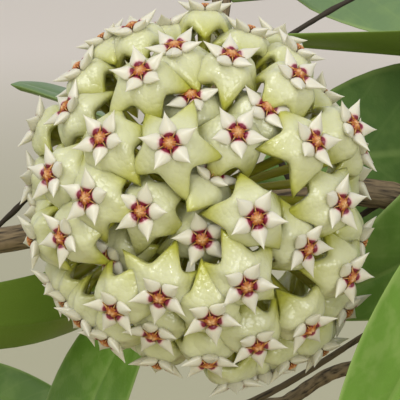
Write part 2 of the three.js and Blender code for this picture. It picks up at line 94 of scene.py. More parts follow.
# Flower head.
HEAD = Vector((0, -92, 240))
HEAD_PLACE = 0.6
HEAD_RADIUS = 28.5
HEAD_CORE = 2.4
STALK_RADIUS = 1.4
FAR_RADIUS = 25.8
FLOWER_SPACING = 9.3
SPIRAL_STEPS = 400
SIDE_EDGE = math.radians(84)
BACK_EDGE = math.radians(116)
LOBES = 5
LOBE_TURN = math.tau / LOBES

# Flowers: where the rim stands on the way from a piece's top over it to its underside, how far from
# the middle a crown lobe starts, and how far behind the face the flower's stalk ends and bends.
COLUMN_RIM = 0.75
COROLLA_RIM = 0.64
CROWN_FOOT = 0.8
PEDICEL_TOP = 1.6
PEDICEL_BEND = 8
# The points of a corolla: how far one spreads beyond the usual, how deep it hangs at least, and how
# far it swings round, in radians.
POINT_SPREAD = -2.2, 0.9
POINT_DEPTH = 4
POINT_SWING = 0.16

# Leaves.
LEAF_WIDTH_PART = 0.32
PETIOLE_PART = 0.11
PETIOLE_HALF_WIDTH = 1.2
PETIOLE_THICKNESS = 2.2
PETIOLE_BLEND = 0.1
SIDE_VEINS = 11

# Faces around and along each kind of fine piece, and the seeds of the random draws.
POT_AROUND = 96
HOLE_AROUND = 32
FLOOR_AROUND = 128
SOIL_RINGS = 30
VINE_AROUND, VINE_ALONG = 20, 170
SPUR_AROUND, SPUR_ALONG = 12, 60
LEAF_AROUND, LEAF_ALONG = 96, 40
CROWN_AROUND, CROWN_ALONG = 14, 12
COLUMN_AROUND, COLUMN_ALONG = 80, 8
COROLLA_AROUND, COROLLA_ALONG = 60, 14
PEDICEL_AROUND, PEDICEL_ALONG = 8, 9
STALK_AROUND, STALK_ALONG = 16, 24
CHIP_SEED = 11
HEAD_SEED = 5

# Vines: how far a node swells along the stem, how a stem widens at the soil, where on it the young
# green starts and how fast it grows, and how far the thin leafless spurs have darkened, from 0 to 1.
NODE_REACH = 2.4
FOOT_FLARE = 0.9
FOOT_REACH = 14
YOUNG_FROM = 0.72
YOUNG_RISE = 2.6
SPUR_SHADE = 1

# How the photograph sees the plant: tilt of the view, distance to the head, scale at the head.
VIEW_TILT = math.radians(8)
VIEW_DISTANCE = 320
MM_PER_PIXEL = 0.155
MIDDLE_PIXEL = 200
HEAD_ROW = 195
VIEW_RIGHT = Vector((1, 0, 0))
VIEW_UP = Vector((0, math.sin(VIEW_TILT), math.cos(VIEW_TILT)))
VIEW_AHEAD = Vector((0, math.cos(VIEW_TILT), -math.sin(VIEW_TILT)))
SENSOR = 36

# Square soft lights: place, aim and width in metres, and power as a share of the key light's.
Softbox = namedtuple("Softbox", "name place aim width share")
SOFTBOXES = [
    Softbox("key", (-0.9, -1.1, 2), (0, -0.05, 0.2), 1.2, 1),
    Softbox("fill", (0.8, -2.4, 0.75), (0, -0.05, 0.2), 1.2, 1.05),
    Softbox("glint", (-0.5, -1.3, 1.2), (0, -0.09, 0.24), 0.1, 0.12),
]

Vine = namedtuple("Vine", "foot tip route spurs shade", defaults=[(), 0])
Leaf = namedtuple("Leaf", "vine place heading rise droop roll length tone bloom", defaults=[0.4, 0.1])
Shown = namedtuple("Shown", "face turn tip reach", defaults=[None, None])
Bloom = namedtuple("Bloom", "face normal first second root")

# A Mix node's factor and its two colours, by number, because the names of its inputs repeat.
MIX_INPUTS = 0, 6, 7
# The output that is used of each kind of node, where that isn't the first.
OUTPUTS = {"Mix": 2, "Attribute": "Fac", "TexCoord": "Object", "VectorMath": "Value"}
SMOOTH = {"interpolation_type": "SMOOTHSTEP"}


def seen(column, row, behind):
    """The point that the photograph shows at a pixel, so many millimetres behind the head."""
    scale = MM_PER_PIXEL * (VIEW_DISTANCE + behind) / VIEW_DISTANCE
    lift = (MIDDLE_PIXEL - row) * scale - (MIDDLE_PIXEL - HEAD_ROW) * MM_PER_PIXEL
    return HEAD + VIEW_RIGHT * (column - MIDDLE_PIXEL) * scale + VIEW_UP * lift + VIEW_AHEAD * behind


def planted(x, y):
    """The straight foot of a vine that stands in the soil at a place."""
    return [Vector((x, y, height)) for height in VINE_HEIGHTS]


def through(*places):
    """Places of a route, each as x, y and z."""
    return [Vector(place) for place in places]


# Routes of the vines, foot first, and of the leafless spurs that grew from the front one. They are the
# frame's, but for the hidden lower stretch of the right one and the middle spur, which run straighter.
VINES = {
    "front": Vine(3.2, 1.8, [
        *planted(44, 14), *through((52, -14, 186), (56, -40, 218)), seen(390, 196, 40),
        seen(200, 207, 42), seen(22, 237, 38), *through((-62, -62, 222), (-94, -62, 210), (-122, -56, 190)),
    ], spurs=[
        [seen(388, 198, 41), seen(360, 216, 44), seen(320, 239, 43)],
        [seen(300, 201, 41), seen(262, 120, 38), seen(252, 60, 48), seen(290, 35, 54), seen(350, 0, 60),
         seen(430, -36, 62)],
        [seen(150, 214, 41), seen(80, 172, 46), seen(38, 190, 48), seen(10, 215, 50), seen(-40, 262, 54)],
    ]),
    "right": Vine(1.3, 1.1, [
        *planted(-8, -42)[:2], seen(218, 454, 45), seen(290, 400, 45), seen(350, 368, 45),
        *through((44, -61, 206), (60, -65, 227), (72, -63, 248), (100, -44, 258), (128, -22, 253)),
    ]),
    "shoot": Vine(1.1, 0.4, [
        *planted(-42, -26), *through((-40, -44, 164), (-18, -62, 190)),
        seen(255, 400, 32), seen(365, 335, 32), seen(388, 324, 31),
    ], shade=0.6),
    "back": Vine(2.2, 1.3, [
        *planted(-30, 14),
        *through((-22, 10, 184), (-2, 8, 230), (4, 14, 275), (-12, 24, 318), (-44, 34, 338), (-78, 40, 332)),
    ]),
    "left": Vine(2, 1.2, [
        *planted(-50, 8), *through((-68, 8, 174), (-94, 6, 204), (-126, 0, 216), (-156, -4, 202)),
    ]),
    "far": Vine(2, 1.2, [
        *planted(24, 44), *through((48, 58, 172), (72, 68, 210), (98, 76, 238), (130, 80, 240)),
    ]),
}


def curve_point(route, part):
    """The point at a part of the smooth curve through a route."""
    last = len(route) - 1
    step = min(int(part * last), last - 1)
    weight = part * last - step
    start, end = route[step], route[step + 1]
    before = route[step - 1] if step else 2 * start - end
    after = route[step + 2] if step + 2 <= last else 2 * end - start
    leave, arrive = (end - before) / 2, (after - start) / 2
    square = 3 * (end - start) - 2 * leave - arrive
    cube = 2 * (start - end) + leave + arrive
    return start + leave * weight + square * weight ** 2 + cube * weight ** 3


def curve_direction(route, part):
    """The direction of a route's curve at a part of it."""
    step = 0.001
    return (curve_point(route, min(part + step, 1)) - curve_point(route, max(part - step, 0))).normalized()


def reaching(vine, place, tip, bend, roll, **looks):
    """A leaf given by the place of its point and by its whole arch."""
    reach = tip - curve_point(VINES[vine].route, place)
    slope = math.degrees(math.asin(reach.z / reach.length))
    half = math.radians(bend / 2)
    heading = math.degrees(math.atan2(reach.y, reach.x))
    length = reach.length * half / math.sin(half)
    return Leaf(vine, place, heading, slope + bend / 2, slope - bend / 2, roll, length, **looks)


# Leaves: vine, place on it, compass heading, slope at the root and at the point, turn about the
# midrib, all in degrees, and length. They are the frame's, but the fifth is turned to show its
# underside. tone: 0 dark to 1 bright, for age and painted light and shade. bloom: grey cast.
LEAVES = [
    Leaf("front", 0.6, 24, 15, -24, -68, 110, tone=0.3, bloom=0.1),
    reaching("right", 0.9, seen(294, 309, 33), bend=-5, roll=87, tone=0.5, bloom=0.05),
    reaching("right", 0.75, seen(320, 576, -7), bend=44, roll=90, tone=0.85, bloom=0),
    Leaf("back", 0.6, -12, 5.5, 0, -48, 112, tone=0.25, bloom=0.4),
    reaching("right", 0.95, seen(256, 34, 46), bend=-5, roll=-12, tone=0, bloom=0),
    reaching("back", 0.5, seen(22, 87, 70), bend=30, roll=20, tone=0.3, bloom=0.6),
    Leaf("front", 0.8, 35, -29, 40, 40, 92, tone=0.8, bloom=0),
    Leaf("front", 0.6, 171, -51, -90, 35, 92, tone=0.6, bloom=0),
    reaching("left", 0.55, seen(92, 428, 98), bend=10, roll=-60, tone=0.4, bloom=0.1),
    Leaf("front", 0.35, 62, 30, -30, 0, 96),
    Leaf("front", 0.35, 330, 20, -45, 10, 100),
    Leaf("front", 0.8, 100, 55, -10, 15, 92),
    Leaf("front", 0.85, 256, -10, -70, -20, 100, tone=0.55),
    Leaf("front", 0.9, 78, 20, -40, 0, 76),
    Leaf("front", 0.9, 276, 30, -35, 0, 94, tone=0.6),
    Leaf("front", 1, 148, 5, -40, -20, 84, tone=0.8),
    Leaf("front", 1, 218, 15, -50, 20, 86, tone=0.85),
    Leaf("right", 1, 345, 5, -40, 15, 84, tone=0.85),
    Leaf("right", 1, 75, 20, -30, -10, 84, tone=0.8),
    Leaf("back", 0.5, 60, 20, -25, 5, 92, tone=0.3),
    Leaf("back", 0.6, 142, 44, 2, 15, 90),
    Leaf("back", 0.75, 55, 35, -20, 10, 94),
    Leaf("back", 0.75, 224, 16, -14, -10, 88, tone=0.5),
    Leaf("back", 0.85, 110, 25, -30, 0, 90, tone=0.6),
    Leaf("back", 0.85, 268, 30, -12, 0, 84, tone=0.65),
    Leaf("back", 1, 185, -5, -50, 0, 88, tone=0.9),
    Leaf("left", 0.6, 106, 30, -30, 0, 96, tone=0.35),
    Leaf("left", 0.6, 250, 0, -66, 10, 84),
    Leaf("left", 0.8, 128, 30, -30, -10, 90, tone=0.5),
    Leaf("left", 1, 182, -10, -50, 0, 82, tone=0.85),
    Leaf("far", 0.6, 318, 10, -50, 0, 92),
    Leaf("far", 0.8, 75, 25, -40, 5, 92, tone=0.5),
    Leaf("far", 1, 5, 0, -50, 0, 84, tone=0.8),
]

# Flowers read from the photograph: the pixel at the middle of each face, how far the face turns
# away from the view in degrees, and, where one shows well, the pixel at a tip of its crown. A face
# that lies deeper than the rest has its own reach from the middle of the head.
FLOWERS_SEEN = [
    Shown((170, 144), 14, (165, 110)),
    Shown((237, 134), 26, (269, 144)),
    Shown((142, 211), 22, (152, 242)),
    Shown((202, 238), 18, (226, 258)),
    Shown((256, 218), 14, (294, 222)),
    Shown((191, 97), 42, (218, 95)),
    Shown((266, 109), 44, (240, 90)),
    Shown((314, 142), 42, (341, 142)),
    Shown((340, 204), 42, (368, 194)),
    Shown((306, 248), 46, (331, 246)),
    Shown((246, 285), 32, (278, 283)),
    Shown((211, 318), 40, (238, 320)),
    Shown((160, 296), 38, (190, 312)),
    Shown((109, 259), 52, (86, 256)),
    Shown((88, 198), 34, (103, 230)),
    Shown((102, 139), 34, (72, 153)),
    Shown((141, 73), 38, (108, 75)),
    Shown((175, 48), 58, (199, 50)),
    Shown((231, 57), 54, (260, 54)),
    Shown((297, 76), 54, (320, 63)),
    Shown((352, 126), 56, (377, 134)),
    Shown((349, 276), 52, (374, 274)),
    Shown((308, 327), 62),
    Shown((257, 344), 50, (284, 342)),
    Shown((208, 361), 66, (190, 358)),
    Shown((154, 333), 58, (180, 330)),
    Shown((114, 309), 50, (86, 299)),
    Shown((63, 237), 50, (66, 268)),
    Shown((51, 175), 50, (52, 145)),
    Shown((68, 109), 70, (57, 91)),
    Shown((80, 69), 78),
    Shown((104, 40), 86),
    Shown((133, 29), 74, (132, 18)),
    Shown((164, 26), 92),
    Shown((205, 10), 88),
    Shown((250, 32), 86),
    Shown((297, 51), 84),
    Shown((278, 38), 102),
    Shown((346, 310), 76),
    Shown((322, 349), 86),
    Shown((290, 362), 80),
    Shown((264, 372), 96),
    Shown((235, 382), 92),
    Shown((158, 362), 80),
    Shown((107, 339), 76),
    Shown((81, 320), 80),
    Shown((66, 301), 88),
    Shown((54, 288), 92),
    Shown((34, 240), 80),
    Shown((37, 213), 96),
    Shown((33, 178), 96),
    Shown((38, 125), 94),
    Shown((212, 176), 70, reach=19.5),
]


def turned(first, second, angle):
    """The direction at an angle from a first direction towards a second one."""
    return first * math.cos(angle) + second * math.sin(angle)


def across_and_along(u, v):
    """How far across a plump piece, from -1 to 1, and how far along it, from 0 to 1, a point lies."""
    return math.cos(math.tau * u), (1 - math.cos(math.pi * v)) / 2


def lerp(start, end, part):
    """The value, or point, at a part of the way from start to end."""
    return start + (end - start) * part


def bezier(a, b, c, d, part):
    """A cubic curve's value at a part of it."""
    rest = 1 - part
    return a * rest ** 3 + 3 * b * rest ** 2 * part + 3 * c * rest * part ** 2 + d * part ** 3


def linear(code):
    """A colour written as sRGB hex, in linear values."""
    parts = [int(code[i:i + 2], 16) / 255 for i in (1, 3, 5)]
    return tuple(p / 12.92 if p <= 0.04045 else ((p + 0.055) / 1.055) ** 2.4 for p in parts)


def size_property(name, description, millimetres):
    """A length that a user may change."""
    return FloatProperty(name=name, description=description, default=millimetres * MM, min=0, unit="LENGTH")


def colour_property(name, description, code):
    """A colour that a user may change."""
    return FloatVectorProperty(
        name=name, description=description, default=linear(code), min=0, max=1, size=3, subtype="COLOR")


class PotSettings(PropertyGroup):
    """Sizes and colours of the clay pot and what fills it."""

    edge: size_property("Edge", "Roundness of the pot's edges", 1.1)
    ring: size_property("Turning rings", "Height of the rings that the wheel left", 0.13)
    ring_spacing: size_property("Ring spacing", "Distance between the turning rings", 3.4)
    clay: colour_property("Clay", "Fired red clay", "#b8704c")
    clay_dark: colour_property("Damp clay", "Clay where water soaks through", "#9a5a3c")
    lime: colour_property("Lime", "Pale bloom that hard water leaves", "#d8b79d")
    chips: IntProperty(
        name="Bark chips", description="How many pieces of bark lie on top", default=340, min=0)
    chip_size: size_property("Chip size", "Mean length of a piece of bark", 7)
    soil: colour_property("Soil", "Moist peat and bark", "#33251a")
    chip: colour_property("Bark chip", "Composted pine bark", "#6b4a30")


class VineSettings(PropertyGroup):
    """Sizes and colours of the vines."""

    node: size_property("Node", "How far the bark swells where leaves grow", 0.4)
    spur: size_property("Spur", "Radius of a leafless spur at its foot", 0.62)
    bark: colour_property("Bark", "Thin grey-brown bark", "#857254")
    bark_dark: colour_property("Furrows", "Shaded furrows and scars", "#33291b")
    young: colour_property("Young stem", "Green stem at a growing end", "#66702f")


class LeafSettings(PropertyGroup):
    """Sizes and colours of the leaves."""

    thickness: size_property("Thickness", "Of the blade at its middle", 1.5)
    groove: size_property("Groove", "Depth of the groove along the midrib", 0.32)
    cup: FloatProperty(name="Cup", description="Rise of the margins for their width", default=0.12, min=0)
    # Painted light: these greens stand for a leaf's age and also for painted light and shade on its top.
    dark: colour_property("Old and shaded green", "Top of an old leaf, and painted shade on a leaf", "#304c08")
    bright: colour_property("Young and lit green", "Top of a young leaf, and painted light on a leaf", "#71983a")
    bloom: colour_property("Bloom", "Grey waxy bloom", "#84987a")
    under: colour_property("Underside", "Paler lower face", "#849a42")
    margin: colour_property("Margin", "Thin pale rim", "#93a860")


class HeadSettings(PropertyGroup):
    """Sizes and colours of the flowers."""

    crown: size_property("Crown", "From the middle of a flower to a tip of its crown", 4.6)
    lobe_width: size_property("Lobe width", "Half the width of a lobe of the crown", 1.36)
    corolla: size_property("Corolla", "From the middle of a flower to a tip of its corolla", 8)
    pedicel: size_property("Flower stalk", "Radius of a flower's own stalk", 0.78)
    ivory: colour_property("Ivory", "Waxy white of the crown", "#d2cdba")
    cream: colour_property("Cream", "Shaded side of the crown", "#d1ccb2")
    wine: colour_property("Wine", "Dark spot at the foot of each lobe", "#7a1530")
    rose: colour_property("Rose", "Soft edge of the dark spot", "#cf9095")
    amber: colour_property("Amber", "Ridges of the middle", "#b0681a")
    straw: colour_property("Straw", "Outer ends of the column's rays", "#dcab68")
    peach: colour_property("Peach", "Very middle of the flower", "#d0a06c")
    petal: colour_property("Petal", "Pale green wax of the corolla", "#c9c9a0")
    # Painted shade: this colour also darkens the corolla deep below each face.
    petal_tip_and_depth_shade: colour_property("Petal tip and depth shade", "Yellow-green points of the corolla and painted shade deep in the head", "#b0b03e")
    hollow: colour_property("Hollow", "Shaded underside of the corolla", "#a2a038")
    stalk: colour_property("Stalk", "Olive stalks inside the head", "#9f9c2c")


class StageSettings(PropertyGroup):
    """Floor and light."""

    floor: colour_property("Floor", "Pale floor far from the plant", "#f0e5d8")
    floor_near: colour_property("Floor nearby", "Floor round the plant", "#b6b295")
    sky: colour_property("Sky", "Soft light from all round", "#f1f3f6")
    sky_strength: FloatProperty(name="Sky strength", description="Of the light from all round", default=0.78)
    key_power: FloatProperty(name="Key light", description="Power of the large soft light", default=20)
    floor_radius: FloatProperty(
        name="Floor radius", description="Of the round floor", default=14, unit="LENGTH")


def wire(target, inputs):
    """Gives a node's inputs, called by number or by name, their values or links."""
    for key, value in inputs.items():
        socket = target.inputs[key.replace("_", " ") if isinstance(key, str) else key]
        if isinstance(value, bpy.types.NodeSocket):
            target.id_data.links.new(value, socket)
        else:
            socket.default_value = value


def node(tree, kind, *values, **named):
    """Adds a node and gives its output.

    The values go to its inputs in order. Names with a capital are inputs too, and the others settings.
    """
    made = tree.nodes.new("ShaderNode" + kind)
    if kind == "Mix":
        made.data_type = "RGBA"
    inputs = dict(zip(MIX_INPUTS if kind == "Mix" else range(len(values)), values))
    for name, value in named.items():
        if name[0].isupper():
            inputs[name] = value
        else:
            setattr(made, name, value)
    wire(made, inputs)
    return made.outputs[OUTPUTS.get(kind, 0)]


def new_finish(name, **sockets):
    """A new material, what adds its nodes, and its shader with plain values set on the sockets."""
    material = bpy.data.materials.new(name)
    material.use_nodes = True
    shader = material.node_tree.nodes["Principled BSDF"]
    wire(shader, sockets)
    return material, partial(node, material.node_tree), shader


def full(colour):
    """A setting's colour with full cover, as sockets take it."""
    return (*colour, 1)


def fired_clay(pot):
    """Unglazed earthenware, thrown and fired: matt and gritty, darker where damp, limed by hard water."""
    material, add, shader = new_finish("fired_earthenware", Roughness=0.88)
    place = add("TexCoord")
    height = add("SeparateXYZ", place).node.outputs["Z"]
    # Clouds about 30 mm across and grit about 0.6 mm across.
    clouds = add("TexNoise", place, Scale=33, Detail=5)
    grit = add("TexNoise", place, Scale=1600, Detail=3)
    edge = add("Math", clouds, 0.09, height, operation="MULTIPLY_ADD")
    damp = add("MapRange", edge, 0.1, 0.03, **SMOOTH)
    tone = add("Mix", damp, full(pot.clay), full(pot.clay_dark))
    ring = add("MapRange", edge, 0.125, 0.165)
    band = add("Math", ring, clouds, operation="MULTIPLY")
    speck = add("MapRange", grit, 0.35, 0.75, 0, 0.6)
    pale = add("Math", band, speck, operation="MULTIPLY")
    limed = add("Mix", pale, tone, full(pot.lime))
    shade = add("MapRange", clouds, 0.25, 0.75, 0.86, 1.1)
    colour = add("HueSaturation", Color=limed, Value=shade)
    bump = add("Bump", Height=grit, Strength=0.35, Distance=0.3 * MM)
    wire(shader, {"Base Color": colour, "Normal": bump})
    return material


def potting_mix(name, light, dark, grain):
    """Composted bark and peat: crumbly, moist and matt, with a grain of so many millimetres."""
    material, add, shader = new_finish(name, Roughness=0.9)
    place = add("TexCoord")
    crumbs = add("TexNoise", place, Scale=1 / (grain * MM), Detail=6)
    patches = add("TexNoise", place, Scale=0.12 / (grain * MM))
    both = add("Math", crumbs, patches, operation="MULTIPLY")
    amount = add("MapRange", both, 0.14, 0.4)
    colour = add("Mix", amount, full(dark), full(light))
    bump = add("Bump", Height=crumbs, Strength=0.8, Distance=0.5 * MM)
    wire(shader, {"Base Color": colour, "Normal": bump})
    return material


def thin_bark(vines):
    """Cork bark of a woody vine: grey-brown, furrowed lengthwise, smooth and green on young ends."""
    material, add, shader = new_finish("thin_cork_bark", Roughness=0.82)
    tone_level = add("Attribute", attribute_name="tone")
    # The chart is in millimetres: furrows are about 0.7 mm wide and 6 mm long.
    stretched = add("Mapping", add("UVMap", uv_map="chart"), Scale=(1.5, 0.17, 1))
    furrows = add("TexNoise", stretched, Scale=1, Detail=4)
    # Blotches about 4 mm across.
    blotches = add("TexNoise", add("TexCoord"), Scale=260, Detail=4)
    # Painted shade darkens the low furrows; the blotches are stains.
    deep = add("MapRange", furrows, 0.58, 0.36)
    stain = add("MapRange", blotches, 0.55, 0.75, 0, 0.6)
    furrow_shade_and_stain = add("Math", deep, stain, operation="MAXIMUM")
    # A tone below 0 stands for bark that has darkened.
    darkened = add("Math", tone_level, -1, operation="MULTIPLY")
    dark = add("Math", furrow_shade_and_stain, darkened, operation="MAXIMUM")
    wood = add("Mix", dark, full(vines.bark), full(vines.bark_dark))
    colour = add("Mix", tone_level, wood, full(vines.young))
    bump = add("Bump", Height=furrows, Strength=0.7, Distance=0.25 * MM)
    wire(shader, {"Base Color": colour, "Normal": bump})
    return material


def waxy_leaf(leaves):
    """Thick leathery leaf with a waxy skin: satin, faint veins, soft blotches and a thin pale margin."""
    material, add, shader = new_finish("waxy_leaf_skin", Specular_IOR_Level=0.2)
    from_middle, along = add("SeparateXYZ", add("UVMap", uv_map="chart")).node.outputs[:2]
    tone, bloom, under = (add("Attribute", attribute_name=name) for name in ("tone", "bloom", "under"))
    place = add("TexCoord")
    # Clouds about 12 mm across and pores about 0.5 mm across.
    clouds = add("TexNoise", place, Scale=85, Detail=3)
    pores = add("TexNoise", place, Scale=2000, Detail=2)
    # Painted light: the tone gives a leaf's age and also painted light and shade on it; clouds shift it a
    # little.
    shift = add("MapRange", clouds, 0.3, 0.7, -0.13, 0.13)
    tone_level = add("Math", tone, shift, operation="ADD", use_clamp=True)
    green = add("Mix", tone_level, full(leaves.dark), full(leaves.bright))
    grey = add("Mix", bloom, green, full(leaves.bloom))
    # Paler blotches, 3 to 4 mm across, plainer on a bright leaf.
    blotches = add("TexNoise", place, Scale=300, Detail=2)
    patch = add("MapRange", blotches, 0.42, 0.66, 0, 0.38, **SMOOTH)
    plain = add("Math", patch, tone_level, operation="MULTIPLY")
    mottled = add("Mix", plain, grey, full(leaves.margin))
    # Side veins leave the midrib forwards, one for each 8 mm or so of a 90 mm leaf.
    from_rib = add("Math", from_middle, operation="ABSOLUTE")
    slant = add("Math", from_rib, -0.16, along, operation="MULTIPLY_ADD")
    wave = add("Math", slant, math.tau * SIDE_VEINS, operation="MULTIPLY")
    crest = add("Math", wave, operation="SINE")
    vein = add("MapRange", crest, 0.9, 1, 0, 0.06, **SMOOTH)
    rib = add("MapRange", from_rib, 0.07, 0.01, 0, 0.3, **SMOOTH)
    rim = add("MapRange", from_rib, 0.91, 0.99, 0, 0.5, **SMOOTH)
    lines = add("Math", vein, rib, operation="MAXIMUM")
    all_lines = add("Math", lines, rim, operation="MAXIMUM")
    veined = add("Mix", all_lines, mottled, full(leaves.margin))
    # Small pale specks, about 0.3 mm across and several millimetres apart.
    cells = add("TexVoronoi", place, Scale=330)
    speck = add("MapRange", cells, 0.1, 0.04, 0, 0.5, **SMOOTH)
    rare = add("MapRange", clouds, 0.5, 0.6)
    dots = add("Math", speck, rare, operation="MULTIPLY")
    upper = add("Mix", dots, veined, full(leaves.margin))
    lower = add("Mix", 0.6, grey, full(leaves.under))
    colour = add("Mix", under, upper, lower)
    relief = add("Math", lines, -0.8, pores, operation="MULTIPLY_ADD")
    bump = add("Bump", Height=relief, Strength=0.25, Distance=0.2 * MM)
    sheen = add("MapRange", clouds, 0.3, 0.7, 0.36, 0.5)
    wire(shader, {"Base Color": colour, "Roughness": sheen, "Normal": bump})
    return material


def crown_wax(head):
    """Firm waxy lobes of the crown: ivory and glossy, wine-red at the foot with a soft rose edge."""
    material, add, shader = new_finish(
        "crown_wax", Roughness=0.3, Subsurface_Weight=0.25, Subsurface_Scale=0.8 * MM,
        Subsurface_Radius=(1, 0.9, 0.6))
    across, along = add("SeparateXYZ", add("UVMap", uv_map="chart")).node.outputs[:2]
    # Faint clouds about 2 mm across wander over the edge of the spot, which is rounded.
    clouds = add("TexNoise", add("TexCoord"), Scale=500, Detail=3)
    square = add("Math", across, across, operation="MULTIPLY")
    round_edge = add("Math", square, 0.07, along, operation="MULTIPLY_ADD")
    wander = add("Math", clouds, 0.1, round_edge, operation="MULTIPLY_ADD")
    wine = add("MapRange", wander, 0.265, 0.205, **SMOOTH)
    rose = add("MapRange", wander, 0.34, 0.24, 0, 0.5, **SMOOTH)
    wax = add("Mix", add("Attribute", attribute_name="tone"), full(head.ivory), full(head.cream))
    blush = add("Mix", rose, wax, full(head.rose))
    colour = add("Mix", wine, blush, full(head.wine))
    bump = add("Bump", Height=clouds, Strength=0.15, Distance=0.2 * MM)
    wire(shader, {"Base Color": colour, "Normal": bump})
    return material


def amber_column(head):
    """Horny column in the middle of a flower: amber ridges, peach top, hollows wine-dark with spots and
    painted shade.
    """
    material, add, shader = new_finish(
        "amber_column", Roughness=0.35, Subsurface_Weight=0.1, Subsurface_Scale=0.5 * MM)
    # The chart's X is the turn from a lobe in lobes, and its Y the distance from the middle in mm.
    turn, out = add("SeparateXYZ", add("UVMap", uv_map="chart")).node.outputs[:2]
    angle = add("Math", turn, math.tau, operation="MULTIPLY")
    ridge = add("Math", angle, operation="COSINE")
    # Painted shade: wine in the hollows between the ridges, which lie at the lobes' feet where the wine
    # spots are real.
    hollow = add("MapRange", ridge, 0.35, 0.9, **SMOOTH)
    outer = add("MapRange", out, 0.5, 0.85, **SMOOTH)
    # Three thin strokes to a lobe.
    stroke = add("Math", add("Math", angle, 3, operation="MULTIPLY"), operation="COSINE")
    thin = add("MapRange", stroke, 0.2, 0.9, 0, 0.55, **SMOOTH)
    either = add("Math", hollow, thin, operation="MAXIMUM")
    dark = add("Math", either, outer, operation="MULTIPLY")
    middle = add("MapRange", out, 0.75, 0.2, **SMOOTH)
    amber = add("Mix", middle, full(head.amber), full(head.peach))
    ray = add("MapRange", out, 1, 1.3)
    rayed = add("Mix", ray, amber, full(head.straw))
    wire(shader, {"Base Color": add("Mix", dark, rayed, full(head.wine))})
    return material


def corolla_wax(head):
    """Thick waxy corolla: pale green dome, yellow-green points, painted shade deep below, and small wet
    glints.
    """
    material, add, shader = new_finish(
        "corolla_wax", Roughness=0.38, Subsurface_Weight=0.35, Subsurface_Scale=1.5 * MM,
        Subsurface_Radius=(1, 1, 0.45), Coat_Weight=0.6, Coat_Roughness=0.1)
    # The chart's X runs over the edge to the underside, and its Y is the depth below the face in mm.
    round_part, below = add("SeparateXYZ", add("UVMap", uv_map="chart")).node.outputs[:2]
    place = add("TexCoord")
    # Clouds about 4 mm across.
    clouds = add("TexNoise", place, Scale=250, Detail=3)
    # Painted shade: with depth below the face the colour turns to the petal tip's yellow-green, for the real
    # points and for shade deep in the head.
    depth = add("Math", clouds, 1.6, below, operation="MULTIPLY_ADD")
    tip = add("MapRange", depth, 1.4, 5.8, **SMOOTH)
    tone_and_depth_shade = add("Math", add("Attribute", attribute_name="tone"), 0.25, tip, operation="MULTIPLY_ADD",
               use_clamp=True)
    outside = add("Mix", tone_and_depth_shade, full(head.petal), full(head.petal_tip_and_depth_shade))
    inside = add("MapRange", round_part, 0.72, 0.86)
    colour = add("Mix", inside, outside, full(head.hollow))
    # Low cells about 0.7 mm across break the gloss into small glints.
    cells = add("TexVoronoi", place, Scale=1400)
    domes = add("Math", cells, cells, operation="MULTIPLY")
    relief = add("Math", domes, -0.85, clouds, operation="MULTIPLY_ADD")
    bump = add("Bump", Height=relief, Strength=0.4, Distance=0.25 * MM)
    wire(shader, {"Base Color": colour, "Normal": bump, "Coat Normal": bump})
    return material


def stalk_skin(head):
    """Smooth juicy skin of the flower stalks: olive, paler towards the flowers."""
    material, add, shader = new_finish(
        "stalk_skin", Roughness=0.45, Subsurface_Weight=0.2, Subsurface_Scale=1 * MM)
    tone = add("Attribute", attribute_name="tone")
    wire(shader, {"Base Color": add("Mix", tone, full(head.stalk), full(head.petal_tip_and_depth_shade))})
    return material


def plain_floor(stage):
    """Smooth painted floor: matt, a little darker round the plant."""
    material, add, shader = new_finish("matt_floor_paint", Roughness=0.9, Specular_IOR_Level=0.1)
    away = add("VectorMath", add("TexCoord"), operation="LENGTH")
    far = add("MapRange", away, 0.7, 4, **SMOOTH)
    wire(shader, {"Base Color": add("Mix", far, full(stage.floor_near), full(stage.floor))})
    return material


def new_surface():
    """An empty bmesh with the layers that the finishes read."""
    bm = bmesh.new()
    bm.loops.layers.uv.new("chart")
    bm.verts.layers.float.new("tone")
    return bm


def skin(bm, around, along, place, chart=None, tone=None):
    """Adds a grid and moves each point to place(u, v) in millimetres, u and v running from 0 to 1."""
    uv = bm.loops.layers.uv["chart"]
    shade = bm.verts.layers.float["tone"]
    under = bm.verts.layers.float.get("under")
    grid = bmesh.ops.create_grid(bm, x_segments=around, y_segments=along, size=0.5)["verts"]
    for vert in grid:
        u, v = vert.co.x + 0.5, vert.co.y + 0.5
        for loop in vert.link_loops:
            loop[uv].uv = chart(u, v) if chart else (u, v)
        if tone:
            vert[shade] = tone(u, v)
        if under and math.sin(math.tau * u) < 0:
            vert[under] = 1
        vert.co = place(u, v) * MM


def add_object(name, data):
    """Puts a mesh, light or camera in the scene as an object."""
    made = bpy.data.objects.new(name, data)
    bpy.context.scene.collection.objects.link(made)
    return made


def add_piece(name, mesh, material, slot, *stands_for):
    """Makes a mesh a piece of the plant with its finish, its body and the nodes that it stands for."""
    mesh.materials.append(material)
    piece = add_object(name, mesh)
    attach(piece, "root")
    if stands_for:
        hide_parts(*stands_for)
    return piece


def as_mesh(name, bm):
    """Turns a bmesh into a mesh."""
    mesh = bpy.data.meshes.new(name)
    bm.to_mesh(mesh)
    bm.free()
    return mesh


def closed_mesh(name, bm):
    """Closes seams and poles, turns the faces outwards and gives the bmesh as a smooth mesh."""
    bmesh.ops.remove_doubles(bm, verts=bm.verts, dist=WELD)
    bmesh.ops.recalc_face_normals(bm, faces=bm.faces)
    for face in bm.faces:
        face.smooth = True
    return as_mesh(name, bm)


def pot_inside(height):
    """The radius of the pot's inside at a height: tapered below the rim band, then steeper."""
    middle = POT_NECK_RADIUS - POT_WALL
    if height < POT_NECK:
        return lerp(POT_BASE_RADIUS - POT_WALL, middle, height / POT_NECK)
    return lerp(middle, POT_RIM_RADIUS - POT_WALL - 1, (height - POT_NECK) / POT_BAND)


